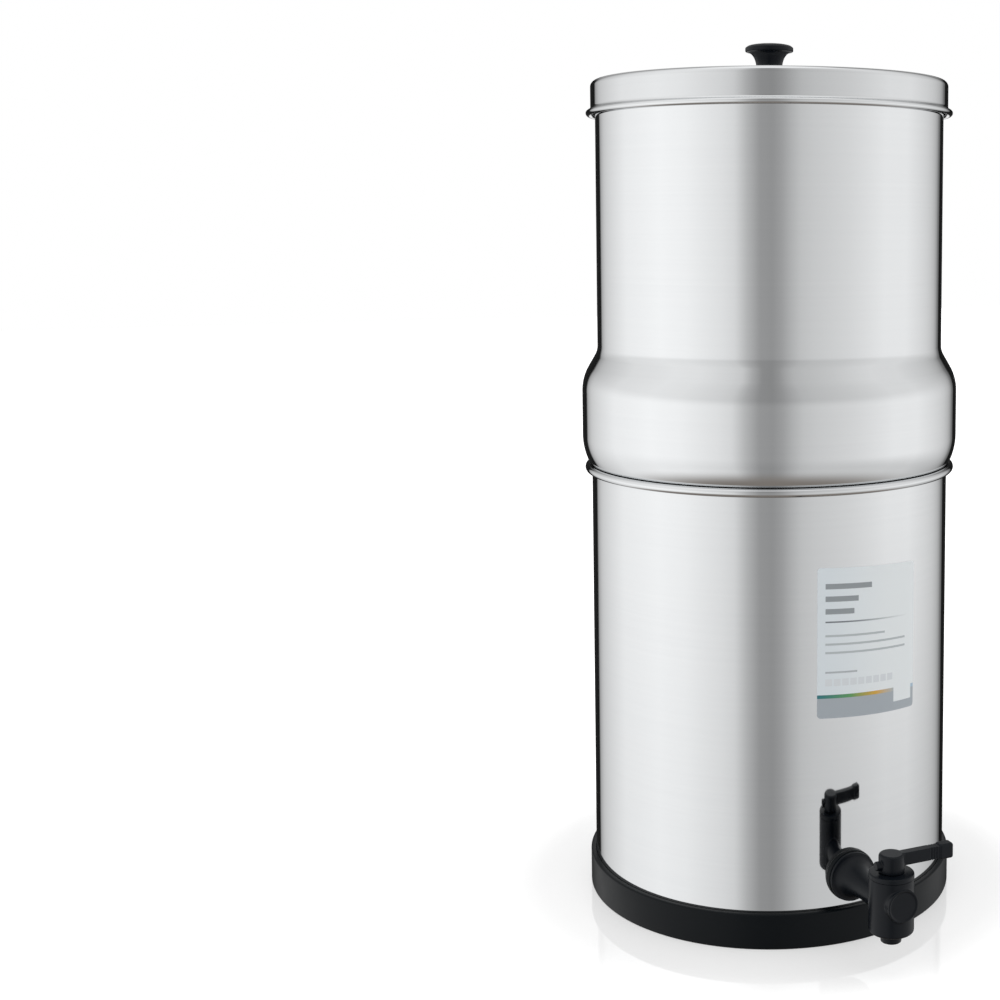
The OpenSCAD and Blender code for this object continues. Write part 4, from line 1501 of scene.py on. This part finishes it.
# %% Light the studio
FRONT = Vector((-0.4226, -0.9063))
TENT = [
    (-180, 1.00), (-150, 0.40), (-144, 0.55), (-141, 0.68), (-138, 0.78), (-134, 0.86), (-129, 0.94),
    (-122, 1.04), (-107, 1.24), (-75, 1.36), (-55, 1.30), (-30, 1.10), (-22, 1.00), (-14, 0.68), (-6, 0.45),
    (2, 0.42), (8, 0.50), (14, 0.65), (20, 0.78), (28, 0.85), (52, 0.98), (80, 1.18), (100, 1.18),
    (118, 1.00), (126, 0.90), (132, 0.80), (139, 0.64), (144, 0.45), (148, 0.20), (180, 1.00),
]
FLAGS = [
    (-180, 1.0), (-176, 1.0), (-173, 0.03), (-149, 0.03), (-146, 1.0),
    (149, 1.0), (152, 0.03), (173, 0.03), (176, 1.0), (180, 1.0),
]
ROOF = 1.20
CEILING_DIM = 0.15
GROUND = (0.28, 0.25, 0.225)
DIM_LEFT = 0.10
DIM_RIGHT = 0.28
DIM_TURN = (0.55, 0.75)
DIM_BELOW = (0.17, 0.47)
DIM_ABOVE = (-0.05, 0.25)
FLAGS_END = (0.2, 0.4)
GROUND_FROM = (0.52, 0.84)
ROOF_FROM = (0.87, 0.96)


def compass(wires, turn, stops):
    """A level for each compass direction."""
    places = [(degrees / 360 + 0.5, level) for degrees, level in stops]
    return wires.node("ShaderNodeValToRGB", {"stops": places}, {"Fac": turn})


def tent_light(wires):
    """The tent's light in the direction that a ray takes."""
    x, y, z = wires.node("ShaderNodeTexCoord", out="Generated").split()
    towards = x * FRONT.x + y * FRONT.y
    right = y * FRONT.x - x * FRONT.y
    turn = right.of("ARCTAN2", towards) / (2 * math.pi) + 0.5
    flags = (compass(wires, turn, FLAGS) + z.between(*FLAGS_END)).of("MINIMUM", 1.0)
    side = turn.between(*DIM_TURN) * (DIM_RIGHT - DIM_LEFT) + DIM_LEFT
    low = 1 - (0 - z).between(*DIM_BELOW) * side
    high = 1 - z.between(*DIM_ABOVE) * CEILING_DIM
    level = compass(wires, turn, TENT) * flags * low * high
    below = (0 - z).between(*GROUND_FROM).mix(level, rgb(*GROUND))
    return z.between(*ROOF_FROM).mix(below, grey(ROOF))


def light_studio():
    """The world: the tent for every ray but the camera's, which sees white."""
    world = bpy.data.worlds.new("studio")
    wires = fresh_wires(world)
    seen = wires.node("ShaderNodeLightPath", out="Is Camera Ray")
    tent = wires.node("ShaderNodeBackground", sockets={"Color": tent_light(wires), "Strength": 1.0})
    paper = wires.node("ShaderNodeBackground", sockets={"Color": grey(1), "Strength": 1.0})
    both = wires.node("ShaderNodeMixShader", sockets={0: seen, 1: tent, 2: paper})
    wires.node("ShaderNodeOutputWorld", sockets={"Surface": both})
    bpy.context.scene.world = world


light_studio()
bpy.context.scene.view_settings.view_transform = "Standard"

# %% [markdown]
# ## The camera
#
# The camera stands a little above the middle of the filter, to the left of the tap, and looks slightly
# down. The object stands right of the view's middle, which a shift does without turning the camera.

# %% Set up the camera
LENS = 56.0
SENSOR = 36.0
EYE = Vector((-414.5, -889.0, 417.8))
PITCH = 5.65
SHIFT_RIGHT = -0.2693
SHIFT_UP = -0.1195
HEADING = math.degrees(math.atan2(-FRONT.x, -FRONT.y))

camera_data = bpy.data.cameras.new("camera")
camera_data.lens = LENS
camera_data.sensor_width = SENSOR
camera_data.shift_x = SHIFT_RIGHT
camera_data.shift_y = SHIFT_UP
camera = bpy.data.objects.new("camera", camera_data)
camera.location = EYE * MM
camera.rotation_euler = (math.radians(90 - PITCH), 0, math.radians(-HEADING))
bpy.context.scene.collection.objects.link(camera)
bpy.context.scene.camera = camera
